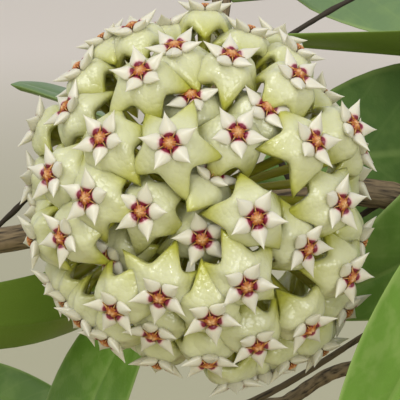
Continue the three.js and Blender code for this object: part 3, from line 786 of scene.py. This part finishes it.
def turned_wall(start, end, pot):
    """Points up a turned wall from start to end, with the low rings that the wheel left."""
    spacing = pot.ring_spacing / MM
    steps = max(2, round((end - start).length / spacing * 4))
    points = []
    for k in range(steps + 1):
        spot = lerp(start, end, k / steps)
        fade = math.sin(math.pi * k / steps)
        spot.x += pot.ring / MM * fade * math.sin(math.tau * spot.y / spacing)
        points.append(spot)
    return points


def pot_profile(pot):
    """The pot's section as radius and height, from the middle of its foot round to its floor."""
    # The small offsets, in millimetres, ease the edges and lean the band.
    outer = turned_wall(Vector((POT_BASE_RADIUS, 2)), Vector((POT_NECK_RADIUS, POT_NECK - 1)), pot)
    band = turned_wall(Vector((POT_RIM_RADIUS - 1.2, POT_NECK + 2)),
                       Vector((POT_RIM_RADIUS - 0.2, POT_HEIGHT - 3)), pot)
    return [
        Vector((0, 0)),
        Vector((POT_BASE_RADIUS - 2, 0)),
        *outer,
        Vector((POT_RIM_RADIUS - 3, POT_NECK)),
        *band,
        Vector((POT_RIM_RADIUS - 2, POT_HEIGHT)),
        Vector((POT_RIM_RADIUS - POT_WALL + 1, POT_HEIGHT)),
        Vector((pot_inside(POT_HEIGHT - 2), POT_HEIGHT - 2)),
        Vector((pot_inside(POT_NECK), POT_NECK)),
        Vector((pot_inside(POT_FLOOR), POT_FLOOR)),
        Vector((0, POT_FLOOR)),
    ]


def spun(name, profile, steps):
    """A section of radius and height spun about the pot's axis into a closed mesh."""
    bm = new_surface()
    verts = [bm.verts.new((spot.x * MM, 0, spot.y * MM)) for spot in profile]
    edges = [bm.edges.new(pair) for pair in zip(verts, verts[1:])]
    bmesh.ops.spin(bm, geom=verts + edges, cent=(0, 0, 0), axis=(0, 0, 1), angle=math.tau, steps=steps,
                   use_merge=True)
    return closed_mesh(name, bm)


def drill_mesh():
    """The round cutters of the drain holes."""
    bm = bmesh.new()
    for i in range(DRAIN_HOLES):
        angle = math.tau * (i + 0.5) / DRAIN_HOLES
        middle = Vector((math.cos(angle), math.sin(angle), 0)) * DRAIN_RING
        bmesh.ops.create_cone(
            bm, cap_ends=True, segments=HOLE_AROUND, radius1=DRAIN_RADIUS * MM, radius2=DRAIN_RADIUS * MM,
            depth=4 * POT_FLOOR * MM, matrix=Matrix.Translation(middle * MM))
    return as_mesh("drill", bm)


def drilled(piece):
    """Cuts the drain holes and keeps the result as the piece's own mesh."""
    drill = add_object("drill", drill_mesh())
    cut = piece.modifiers.new("drain holes", "BOOLEAN")
    cut.operation = "DIFFERENCE"
    cut.object = drill
    bpy.context.view_layer.update()
    evaluated = piece.evaluated_get(bpy.context.evaluated_depsgraph_get())
    piece.data = bpy.data.meshes.new_from_object(evaluated)
    piece.modifiers.clear()
    bpy.data.objects.remove(drill)


def build_pot(pot):
    """The clay pot with its rolled rim, turning rings and drain holes."""
    shape = spun("clay_pot", pot_profile(pot), POT_AROUND)
    piece = add_piece(shape.name, shape, fired_clay(pot), "clay", "pot")
    drilled(piece)
    soften = piece.modifiers.new("worn edges", "BEVEL")
    soften.width = pot.edge
    soften.segments = 3
    soften.limit_method = "ANGLE"
    soften.angle_limit = POT_SHARP_EDGE


def soil_height(x, y):
    """The height of the soil at a place: slightly heaped and lumpy."""
    away = math.hypot(x, y) / pot_inside(SOIL_TOP)
    heap = SOIL_TOP - 2 + (SOIL_CROWN + 2) * (1 - away ** 2)
    lumps = noise.noise(Vector((x, y, 0)) / 9) * 1.3 + noise.noise(Vector((x, y, 5)) / 3) * 0.6
    return heap + lumps * min(1, (1 - away) * 8)


def build_soil(pot):
    """The bark and peat mix that fills the pot."""
    low = POT_FLOOR + GAP
    edge = pot_inside(SOIL_TOP) - GAP
    bm = new_surface()

    def place(u, v):
        row = round(v * (SOIL_RINGS + 2))
        if row == 0:
            return Vector((0, 0, low))
        radius = pot_inside(low) - GAP if row == 1 else edge * (SOIL_RINGS + 2 - row) / SOIL_RINGS
        x, y = radius * math.cos(math.tau * u), radius * math.sin(math.tau * u)
        return Vector((x, y, low if row == 1 else soil_height(x, y)))

    skin(bm, POT_AROUND, SOIL_RINGS + 2, place)
    mix = potting_mix("peat_and_bark_mix", pot.chip, pot.soil, 1.6)
    add_piece("soil_mix", closed_mesh("soil_mix", bm), mix, "soil", "soil")


def chip_spot(rng):
    """A random place on the soil, clear of the vines."""
    feet = [vine.route[0] for vine in VINES.values()]
    while True:
        turn = rng.uniform(0, math.tau)
        away = math.sqrt(rng.random()) * (pot_inside(SOIL_TOP) - CHIP_FROM_WALL)
        x, y = away * math.cos(turn), away * math.sin(turn)
        if all(math.hypot(x - foot.x, y - foot.y) > CHIP_FROM_VINE for foot in feet):
            return Vector((x, y, soil_height(x, y) + 0.6))


def build_chips(pot):
    """Broken pieces of bark that lie on the soil."""
    rng = random.Random(CHIP_SEED)
    bm = new_surface()
    for _ in range(pot.chips):
        size = pot.chip_size / MM * rng.uniform(*CHIP_SIZES)
        turn = Matrix.Rotation(rng.uniform(0, math.tau), 3, "Z") @ Matrix.Rotation(rng.gauss(0, 0.3), 3, "X")
        spot = chip_spot(rng)
        shape = Vector((size, size * rng.uniform(*CHIP_WIDTHS), size * rng.uniform(*CHIP_THICKNESSES)))
        corners = bmesh.ops.create_cube(bm, size=1)["verts"]
        for vert in corners:
            loose = vert.co + Vector([rng.uniform(-CHIP_CORNER, CHIP_CORNER) for _ in range(3)])
            vert.co = (spot + turn @ (loose * shape)) * MM
        edges = list({edge for vert in corners for edge in vert.link_edges})
        edges.sort(key=lambda edge: edge.index)
        bmesh.ops.bevel(bm, geom=edges, offset=size * 0.05 * MM, segments=1, profile=0.5, affect="EDGES",
                        material=-1)
    chips = potting_mix("composted_pine_bark", pot.chip, pot.soil, 2.2)
    add_piece("bark_chips", closed_mesh("bark_chips", bm), chips, "soil")


def stem_rings(route, steps):
    """The middle, and two directions across, at each step along a route."""
    rings = []
    across = Vector((1, 0, 0))
    for k in range(steps + 1):
        along = curve_direction(route, k / steps)
        across = (across - along * across.dot(along)).normalized()
        rings.append((curve_point(route, k / steps), across, across.cross(along)))
    return rings


def route_length(rings):
    """The length of a stem through its rings."""
    return sum((b[0] - a[0]).length for a, b in zip(rings, rings[1:]))


def add_stem(bm, rings, radius_at, around, tone):
    """Adds a round closed stem through its rings; radius_at gives the radius at a part and a middle."""
    steps = len(rings) - 1
    rows = steps + 2
    length = route_length(rings)
    girth = math.tau * radius_at(0.5, rings[steps // 2][0])

    def place(u, v):
        row = round(v * rows)
        step = min(max(row - 1, 0), steps)
        middle, across, beside = rings[step]
        if row in (0, rows):
            return middle.copy()
        out = turned(across, beside, math.tau * u)
        radius = radius_at(step / steps, middle)
        return middle + out * radius * (1 + 0.12 * noise.noise((middle + out * radius) * 0.7))

    skin(bm, around, rows, place, chart=lambda u, v: (u * girth, v * length), tone=tone)


def leaf_nodes(name):
    """The places on a vine where leaves grow."""
    return [curve_point(VINES[name].route, leaf.place) for leaf in LEAVES if leaf.vine == name]


def build_vine(name, vines, bark):
    """One woody vine with swollen nodes, and its leafless spurs."""
    vine = VINES[name]
    nodes = leaf_nodes(name)
    if name == "front":
        nodes.append(curve_point(vine.route, HEAD_PLACE))

    def stem_radius(part, middle):
        near = min(((middle - spot).length for spot in nodes), default=math.inf)
        swell = vines.node / MM * math.exp(-(near / NODE_REACH) ** 2)
        flare = FOOT_FLARE * max(0, 1 - abs(middle.z - SOIL_TOP) / FOOT_REACH) ** 2
        return lerp(vine.foot, vine.tip, part) + swell + flare

    def spur_radius(part, middle):
        knuckle = 0.12 * max(0, math.sin(middle.x * 0.33)) ** 12
        return lerp(vines.spur / MM, 0.4, part) + knuckle

    bm = new_surface()
    add_stem(bm, stem_rings(vine.route, VINE_ALONG), stem_radius, VINE_AROUND,
             lambda u, v: -vine.shade if vine.shade else max(0, v - YOUNG_FROM) * YOUNG_RISE)
    for spur in vine.spurs:
        add_stem(bm, stem_rings(spur, SPUR_ALONG), spur_radius, SPUR_AROUND, lambda u, v: -SPUR_SHADE)
    add_piece(f"woody_vine_{name}", closed_mesh(f"woody_vine_{name}", bm), bark, "vine", f"vine_{name}")


def leaf_frame(leaf, root, part):
    """The midrib's point, and the leaf's side and upward directions, at a part of its length."""
    heading, start = math.radians(leaf.heading), math.radians(leaf.rise)
    bend = math.radians(leaf.droop) - start
    slope = start + bend * part
    reach = leaf.length * (math.sin(slope) - math.sin(start)) / bend
    climb = leaf.length * (math.cos(start) - math.cos(slope)) / bend
    forward = Vector((math.cos(heading), math.sin(heading), 0))
    along = forward * math.cos(slope) + Vector((0, 0, math.sin(slope)))
    level = Vector((math.sin(heading), -math.cos(heading), 0))
    side = Matrix.Rotation(-math.radians(leaf.roll), 3, along) @ level
    return root + forward * reach + Vector((0, 0, climb)), along, side, side.cross(along)


def leaf_root(leaf):
    """Where a leaf's stalk meets its vine: on the side that the leaf leaves by, a hair off the bark."""
    vine = VINES[leaf.vine]
    along = curve_direction(vine.route, leaf.place)
    out = leaf_frame(leaf, Vector((0, 0, 0)), 0)[1]
    slant = out.dot(along)
    out = (out - along * slant).normalized()
    bark = lerp(vine.foot, vine.tip, leaf.place)
    return curve_point(vine.route, leaf.place) + out * (bark + GAP + PETIOLE_HALF_WIDTH * abs(slant))


def blade_outline(part):
    """The half width of a blade, as a part of its widest, from its base 0 to its point 1."""
    return math.sin(math.pi * min(max(part, 0), 1) ** 0.8) ** 0.9


def build_leaf(number, leaf, leaves, wax):
    """One leaf: a round stalk that widens into a pointed, cupped blade with a grooved midrib."""
    root = leaf_root(leaf)
    widest = leaf.length * LEAF_WIDTH_PART / 2
    bm = new_surface()
    bm.verts.layers.float.new("under")

    def place(u, v):
        row = round(v * LEAF_ALONG)
        across, part = across_and_along(u, v)
        middle, along, side, up = leaf_frame(leaf, root, part)
        if row == 0:
            return middle - along * 2 * GAP
        if row == LEAF_ALONG:
            return middle
        blade = (part - PETIOLE_PART) / (1 - PETIOLE_PART)
        stalk = min(1, max(0, 1 - blade / PETIOLE_BLEND))
        half = max(widest * blade_outline(blade), PETIOLE_HALF_WIDTH * stalk)
        thick = lerp(leaves.thickness / MM, PETIOLE_THICKNESS, stalk) / 2 * min(1, half / 1.5 + 0.1)
        lift = math.sin(math.tau * u)
        flat = (1 - stalk) * min(1, half / 4)
        cup = leaves.cup * half * abs(across) ** 1.6 * (1 - stalk)
        groove = leaves.groove / MM * flat * math.exp(-(across * half / 0.7) ** 2)
        ripple = noise.noise(Vector((part * 5, across * 1.4, number * 7))) * 0.5 * across ** 2 * flat
        return middle + side * across * half + up * (cup + lift * thick - groove + ripple)

    skin(bm, LEAF_AROUND, LEAF_ALONG, place, chart=across_and_along)
    mesh = closed_mesh(f"leaf_blade_{number:02}", bm)
    mark(mesh, "tone", leaf.tone)
    mark(mesh, "bloom", leaf.bloom)
    add_piece(mesh.name, mesh, wax, "leaf", f"leaf_{number:02}")


def mark(mesh, name, value):
    """Gives every point of a mesh one value that the finish reads."""
    layer = mesh.attributes.get(name) or mesh.attributes.new(name, "FLOAT", "POINT")
    layer.data.foreach_set("value", [value] * len(mesh.vertices))


def bloom_frame(face, normal, hint):
    """The frame of a flower whose face looks along a normal."""
    first = (hint - normal * hint.dot(normal)).normalized()
    root = HEAD + (face - HEAD).normalized() * HEAD_CORE / 3
    return Bloom(face, normal, first, normal.cross(first), root)


def seen_bloom(shown):
    """The frame of a flower that the photograph shows."""
    across = (shown.face[0] - MIDDLE_PIXEL) * MM_PER_PIXEL
    rise = (HEAD_ROW - shown.face[1]) * MM_PER_PIXEL
    off = math.hypot(across, rise)
    tilt = math.radians(shown.turn)
    polar = max(math.asin(min(1, off / HEAD_RADIUS)), tilt)
    outward = VIEW_RIGHT * (across / off) + VIEW_UP * (rise / off)
    normal = outward * math.sin(tilt) - VIEW_AHEAD * math.cos(tilt)
    # How much nearer to the view than the middle of the head the face stands.
    nearer = off / (math.tan(polar) + off / VIEW_DISTANCE)
    if shown.reach:
        nearer = math.sqrt(shown.reach ** 2 - off ** 2)
    first = outward
    if shown.tip:
        first = VIEW_RIGHT * (shown.tip[0] - shown.face[0]) + VIEW_UP * (shown.face[1] - shown.tip[1])
        first += VIEW_AHEAD * (first.dot(normal) / -VIEW_AHEAD.dot(normal))
    return bloom_frame(seen(*shown.face, -nearer), normal, first)


def hidden_blooms(taken):
    """The flowers of the far side, which the photograph hides: an even spiral round the back."""
    added = []
    golden = math.pi * (3 - math.sqrt(5))
    for i in range(SPIRAL_STEPS):
        facing = 1 - 2 * (i + 0.5) / SPIRAL_STEPS
        polar = math.acos(facing)
        if not SIDE_EDGE <= polar <= BACK_EDGE:
            continue
        turn = i * golden
        normal = (turned(VIEW_RIGHT, VIEW_UP, turn) * math.sin(polar) - VIEW_AHEAD * facing).normalized()
        face = HEAD + normal * FAR_RADIUS
        if all((other.face - face).length > FLOWER_SPACING for other in taken + added):
            added.append(bloom_frame(face, normal, Matrix.Rotation(turn, 3, normal) @ VIEW_UP))
    return added


def in_bloom(bloom, radius, angle, height):
    """A place given by radius, angle and height in a flower's own frame."""
    return bloom.face + turned(bloom.first, bloom.second, angle) * radius + bloom.normal * height


def lobe_swell(part):
    """The half width of a crown lobe along it: blunt at its foot, then nearly straight to its tip."""
    widest = 0.3
    if part < widest:
        return math.sqrt(max(0, 1 - (1 - part / widest) ** 2.6))
    rest = (part - widest) / (1 - widest)
    return lerp(1 - rest, (1 + math.cos(math.pi * rest)) / 2, 0.5)


def add_crown_lobe(bm, bloom, turn, head, tone):
    """Adds one plump boat-shaped lobe of a flower's crown, its underside rising to a sharp tip."""
    reach = head.crown / MM - CROWN_FOOT
    out = turned(bloom.first, bloom.second, turn)
    beside = bloom.normal.cross(out)

    def place(u, v):
        across, along = across_and_along(u, v)
        away = CROWN_FOOT + reach * along
        swell = lobe_swell(along)
        width = across * min(swell * head.lobe_width / MM, 0.69 * away)
        if math.sin(math.tau * u) > 0:
            rise = 0.8 * (1 - abs(across) ** 2.2)
        else:
            rise = -0.8 * math.sqrt(1 - across ** 2)
        rim = 0.1 + 1.3 * along ** 1.7
        return bloom.face + out * away + beside * width + bloom.normal * (rim + rise * swell ** 0.7)

    skin(bm, CROWN_AROUND, CROWN_ALONG, place, chart=across_and_along, tone=lambda u, v: tone)


def add_column(bm, bloom):
    """Adds the ridged column in the middle of a flower, with a thin ray between each two lobes."""
    def spread(angle):
        return 1 + 1.15 * max(0, -math.cos(LOBES * angle)) ** 60

    def away(u, v):
        return spread(math.tau * u) * min(v / COLUMN_RIM, (1 - v) / (1 - COLUMN_RIM))

    def place(u, v):
        radius = away(u, v)
        dome = 1.05 - 0.35 * min(radius, 1) ** 2 - 0.12 * max(0, radius - 1)
        ridge = 0.12 * math.cos(LOBES * math.tau * u) * math.sin(math.pi * min(radius, 1))
        height = dome - ridge if v <= COLUMN_RIM else 0
        return in_bloom(bloom, radius, math.tau * u, height)

    skin(bm, COLUMN_AROUND, COLUMN_ALONG, place, chart=lambda u, v: (u * LOBES, away(u, v)))


def corolla_section(lobe, notch, flare, sag, part):
    """Radius and height on a corolla, from its top 0 over the edge to its hollow underside 1."""
    # The control points, in millimetres, go from those of a notch to those of a point.
    edge_radius, edge_height = lerp(notch, flare, lobe), lerp(-2.8, sag, lobe)
    if part < COROLLA_RIM:
        along = part / COROLLA_RIM
        return (bezier(0, lerp(3, 3.4, lobe), lerp(4.4, 4.5, lobe), edge_radius, along),
                bezier(0.1, 0.3, lerp(-0.7, -2.3, lobe), edge_height, along))
    along = (part - COROLLA_RIM) / (1 - COROLLA_RIM)
    return (bezier(edge_radius - 0.3, lerp(3.3, 3.2, lobe), 1.6, 0, along),
            bezier(edge_height - 0.2, lerp(-2.1, -4.2, lobe), -1.7, -1.7, along))


def add_corolla(bm, bloom, head, rng, tone):
    """Adds a flower's reflexed corolla: a low dome whose five points bend back between the crown's."""
    away = bloom.normal.dot(VIEW_AHEAD)
    usual = head.corolla / MM - 2 * (1 - abs(away)) + 1.6 * max(0, away)
    notch = 4.4 + 2 * max(0, away)
    # Each point spreads or folds back by its own amount, and keeps its length.
    flares = [usual + rng.uniform(*POINT_SPREAD) for _ in range(LOBES)]
    sags = [-math.sqrt(max(POINT_DEPTH ** 2, (usual + 1.6) ** 2 - flare ** 2)) for flare in flares]
    twists = [rng.uniform(-POINT_SWING, POINT_SWING) for _ in range(LOBES)]

    def at_part(u, v):
        turn = (u * LOBES) % LOBES
        number = min(int(turn), LOBES - 1)
        side = abs(turn - number - 0.5) * 2
        outward = min(v / COROLLA_RIM, (1 - v) / (1 - COROLLA_RIM))
        lobe = lerp((1 + math.cos(math.pi * side)) / 2, (1 - side) ** 1.9, outward ** 2)
        radius, height = corolla_section(lobe, notch, flares[number], sags[number], v)
        return radius, height, twists[number] * lobe * outward

    def place(u, v):
        radius, height, twist = at_part(u, v)
        return in_bloom(bloom, radius, math.tau * u + twist, height)

    skin(bm, COROLLA_AROUND, COROLLA_ALONG, place, chart=lambda u, v: (v, -at_part(u, v)[1]),
         tone=lambda u, v: tone)


def add_stalk(bm, around, rings, ring_at, tone=None):
    """Adds a closed round stalk; ring_at gives its middle, directions across and radius at a part."""
    def place(u, v):
        row = round(v * (rings + 2))
        middle, across, beside, radius = ring_at(min(max((row - 1) / rings, 0), 1))
        if row in (0, rings + 2):
            return middle
        return middle + turned(across, beside, math.tau * u) * radius

    skin(bm, around, rings + 2, place, tone=tone)


def add_pedicel(bm, bloom, head):
    """Adds a flower's own stalk, from the middle of the head into the hollow of its corolla."""
    top = bloom.face - bloom.normal * PEDICEL_TOP
    bend = bloom.face - bloom.normal * PEDICEL_BEND

    def ring_at(along):
        middle = lerp(lerp(bloom.root, bend, along), lerp(bend, top, along), along)
        direction = lerp(bend - bloom.root, top - bend, along).normalized()
        across = direction.cross(bloom.first).normalized()
        radius = head.pedicel / MM * (0.9 + 0.9 * along ** 4)
        return middle, across, direction.cross(across), radius

    add_stalk(bm, PEDICEL_AROUND, PEDICEL_ALONG, ring_at, tone=lambda u, v: max(0, v - 0.4))


def add_head_stalk(bm):
    """Adds the stalk that carries the head on its vine, and the knob that the flowers spring from."""
    bearer = VINES["front"]
    knot = curve_point(bearer.route, HEAD_PLACE)
    reach = (HEAD - knot).normalized()
    start = knot + reach * lerp(bearer.foot, bearer.tip, HEAD_PLACE)
    across = reach.cross(Vector((0, 0, 1))).normalized()
    beside = reach.cross(across)
    end = HEAD + reach * HEAD_CORE * 0.6

    def ring_at(along):
        knob = (HEAD_CORE - STALK_RADIUS) * max(0, (along - 0.8) / 0.2) ** 0.7
        radius = STALK_RADIUS + knob + 0.7 * (1 - along) ** 8
        return lerp(start, end, along), across, beside, radius

    add_stalk(bm, STALK_AROUND, STALK_ALONG, ring_at)


def build_head(head):
    """All flowers of the head: crowns, columns, corollas and stalks, each colour one piece."""
    rng = random.Random(HEAD_SEED)
    shown = [seen_bloom(flower) for flower in FLOWERS_SEEN]
    crowns, columns, corollas, stalks = (new_surface() for _ in range(4))
    for bloom in shown + hidden_blooms(shown):
        tone = rng.uniform(0, 0.45)
        for lobe in range(LOBES):
            add_crown_lobe(crowns, bloom, lobe * LOBE_TURN, head, tone)
        add_column(columns, bloom)
        add_corolla(corollas, bloom, head, rng, tone)
        add_pedicel(stalks, bloom, head)
    add_head_stalk(stalks)
    parts = [
        ("flower_crowns", crowns, crown_wax(head)),
        ("flower_columns", columns, amber_column(head)),
        ("flower_corollas", corollas, corolla_wax(head)),
        ("flower_stalks", stalks, stalk_skin(head)),
    ]
    for name, bm, finish in parts:
        add_piece(name, closed_mesh(name, bm), finish, "petal", "flower_umbel")


def build_floor(stage):
    """The round floor that the pot stands on."""
    bm = bmesh.new()
    bmesh.ops.create_circle(bm, cap_ends=True, radius=stage.floor_radius, segments=FLOOR_AROUND)
    mesh = as_mesh("floor", bm)
    mesh.materials.append(plain_floor(stage))
    add_object("floor", mesh)


def build_light(stage):
    """Even light from all round, a large soft light, a weaker one in front and a small one for glints."""
    world = bpy.data.worlds.new("soft light")
    world.use_nodes = True
    sky = world.node_tree.nodes["Background"]
    sky.inputs["Color"].default_value = full(stage.sky)
    sky.inputs["Strength"].default_value = stage.sky_strength
    bpy.context.scene.world = world
    for softbox in SOFTBOXES:
        light = bpy.data.lights.new(softbox.name, "AREA")
        light.size = softbox.width
        light.energy = stage.key_power * softbox.share
        box = add_object(softbox.name, light)
        box.location = softbox.place
        aim = Vector(softbox.aim) - Vector(softbox.place)
        box.rotation_euler = aim.to_track_quat("-Z", "Y").to_euler()


def build_camera():
    """The camera where the photograph was taken from."""
    camera = bpy.data.cameras.new("camera")
    camera.sensor_width = SENSOR
    camera.lens = SENSOR / 2 * VIEW_DISTANCE / (MIDDLE_PIXEL * MM_PER_PIXEL)
    camera.clip_start, camera.clip_end = 0.02, 100
    eye = HEAD - VIEW_AHEAD * VIEW_DISTANCE - VIEW_UP * (MIDDLE_PIXEL - HEAD_ROW) * MM_PER_PIXEL
    stand = add_object("camera", camera)
    stand.rotation_mode = "QUATERNION"
    stand.rotation_quaternion = Matrix((VIEW_RIGHT, VIEW_UP, -VIEW_AHEAD)).transposed().to_quaternion()
    stand.location = eye * MM
    bpy.context.scene.camera = stand


class WAXPLANT_OT_pot(Operator):
    """Makes the clay pot"""

    bl_idname = "waxplant.pot"
    bl_label = "Clay pot"

    def execute(self, context):
        build_pot(context.scene.waxplant_pot)
        return {"FINISHED"}


class WAXPLANT_OT_soil(Operator):
    """Fills the pot with bark and peat"""

    bl_idname = "waxplant.soil"
    bl_label = "Bark mix"

    def execute(self, context):
        build_soil(context.scene.waxplant_pot)
        build_chips(context.scene.waxplant_pot)
        return {"FINISHED"}


class WAXPLANT_OT_vines(Operator):
    """Grows the woody vines"""

    bl_idname = "waxplant.vines"
    bl_label = "Vines"

    def execute(self, context):
        vines = context.scene.waxplant_vines
        bark = thin_bark(vines)
        for name in VINES:
            build_vine(name, vines, bark)
        return {"FINISHED"}


class WAXPLANT_OT_leaves(Operator):
    """Puts the leaves on the vines"""

    bl_idname = "waxplant.leaves"
    bl_label = "Leaves"

    def execute(self, context):
        leaves = context.scene.waxplant_leaves
        wax = waxy_leaf(leaves)
        for number, leaf in enumerate(LEAVES, 1):
            build_leaf(number, leaf, leaves, wax)
        return {"FINISHED"}


class WAXPLANT_OT_head(Operator):
    """Makes the flower head"""

    bl_idname = "waxplant.head"
    bl_label = "Flower head"

    def execute(self, context):
        build_head(context.scene.waxplant_head)
        return {"FINISHED"}


class WAXPLANT_OT_stage(Operator):
    """Makes the floor, the lights and the camera"""

    bl_idname = "waxplant.stage"
    bl_label = "Floor, light and camera"

    def execute(self, context):
        stage = context.scene.waxplant_stage
        build_floor(stage)
        build_light(stage)
        build_camera()
        return {"FINISHED"}


class WAXPLANT_PT_panel(Panel):
    """Lists the steps and their settings"""

    bl_label = "Potted wax plant"
    bl_space_type = "VIEW_3D"
    bl_region_type = "UI"
    bl_category = "Wax Plant"

    def draw(self, context):
        for operator in OPERATORS:
            self.layout.operator(operator.bl_idname)
        for name, group in SETTINGS.items():
            box = self.layout.box()
            for prop in group.__annotations__:
                box.prop(getattr(context.scene, name), prop)


SETTINGS = {
    "waxplant_pot": PotSettings,
    "waxplant_vines": VineSettings,
    "waxplant_leaves": LeafSettings,
    "waxplant_head": HeadSettings,
    "waxplant_stage": StageSettings,
}
OPERATORS = [
    WAXPLANT_OT_pot,
    WAXPLANT_OT_soil,
    WAXPLANT_OT_vines,
    WAXPLANT_OT_leaves,
    WAXPLANT_OT_head,
    WAXPLANT_OT_stage,
]


def register():
    """Makes the settings, the operators and the panel known."""
    for group in SETTINGS.values():
        bpy.utils.register_class(group)
    for name, group in SETTINGS.items():
        setattr(Scene, name, PointerProperty(type=group))
    for operator in OPERATORS:
        bpy.utils.register_class(operator)
    bpy.utils.register_class(WAXPLANT_PT_panel)


def unregister():
    """Takes away what register() made."""
    bpy.utils.unregister_class(WAXPLANT_PT_panel)
    for operator in reversed(OPERATORS):
        bpy.utils.unregister_class(operator)
    for name, group in SETTINGS.items():
        delattr(Scene, name)
        bpy.utils.unregister_class(group)


def main():
    """Makes every piece in order."""
    register()
    bpy.ops.waxplant.pot()
    bpy.ops.waxplant.soil()
    bpy.ops.waxplant.vines()
    bpy.ops.waxplant.leaves()
    bpy.ops.waxplant.head()
    bpy.ops.waxplant.stage()
    bpy.context.scene.view_settings.view_transform = "Standard"


if __name__ == "__main__":
    main()
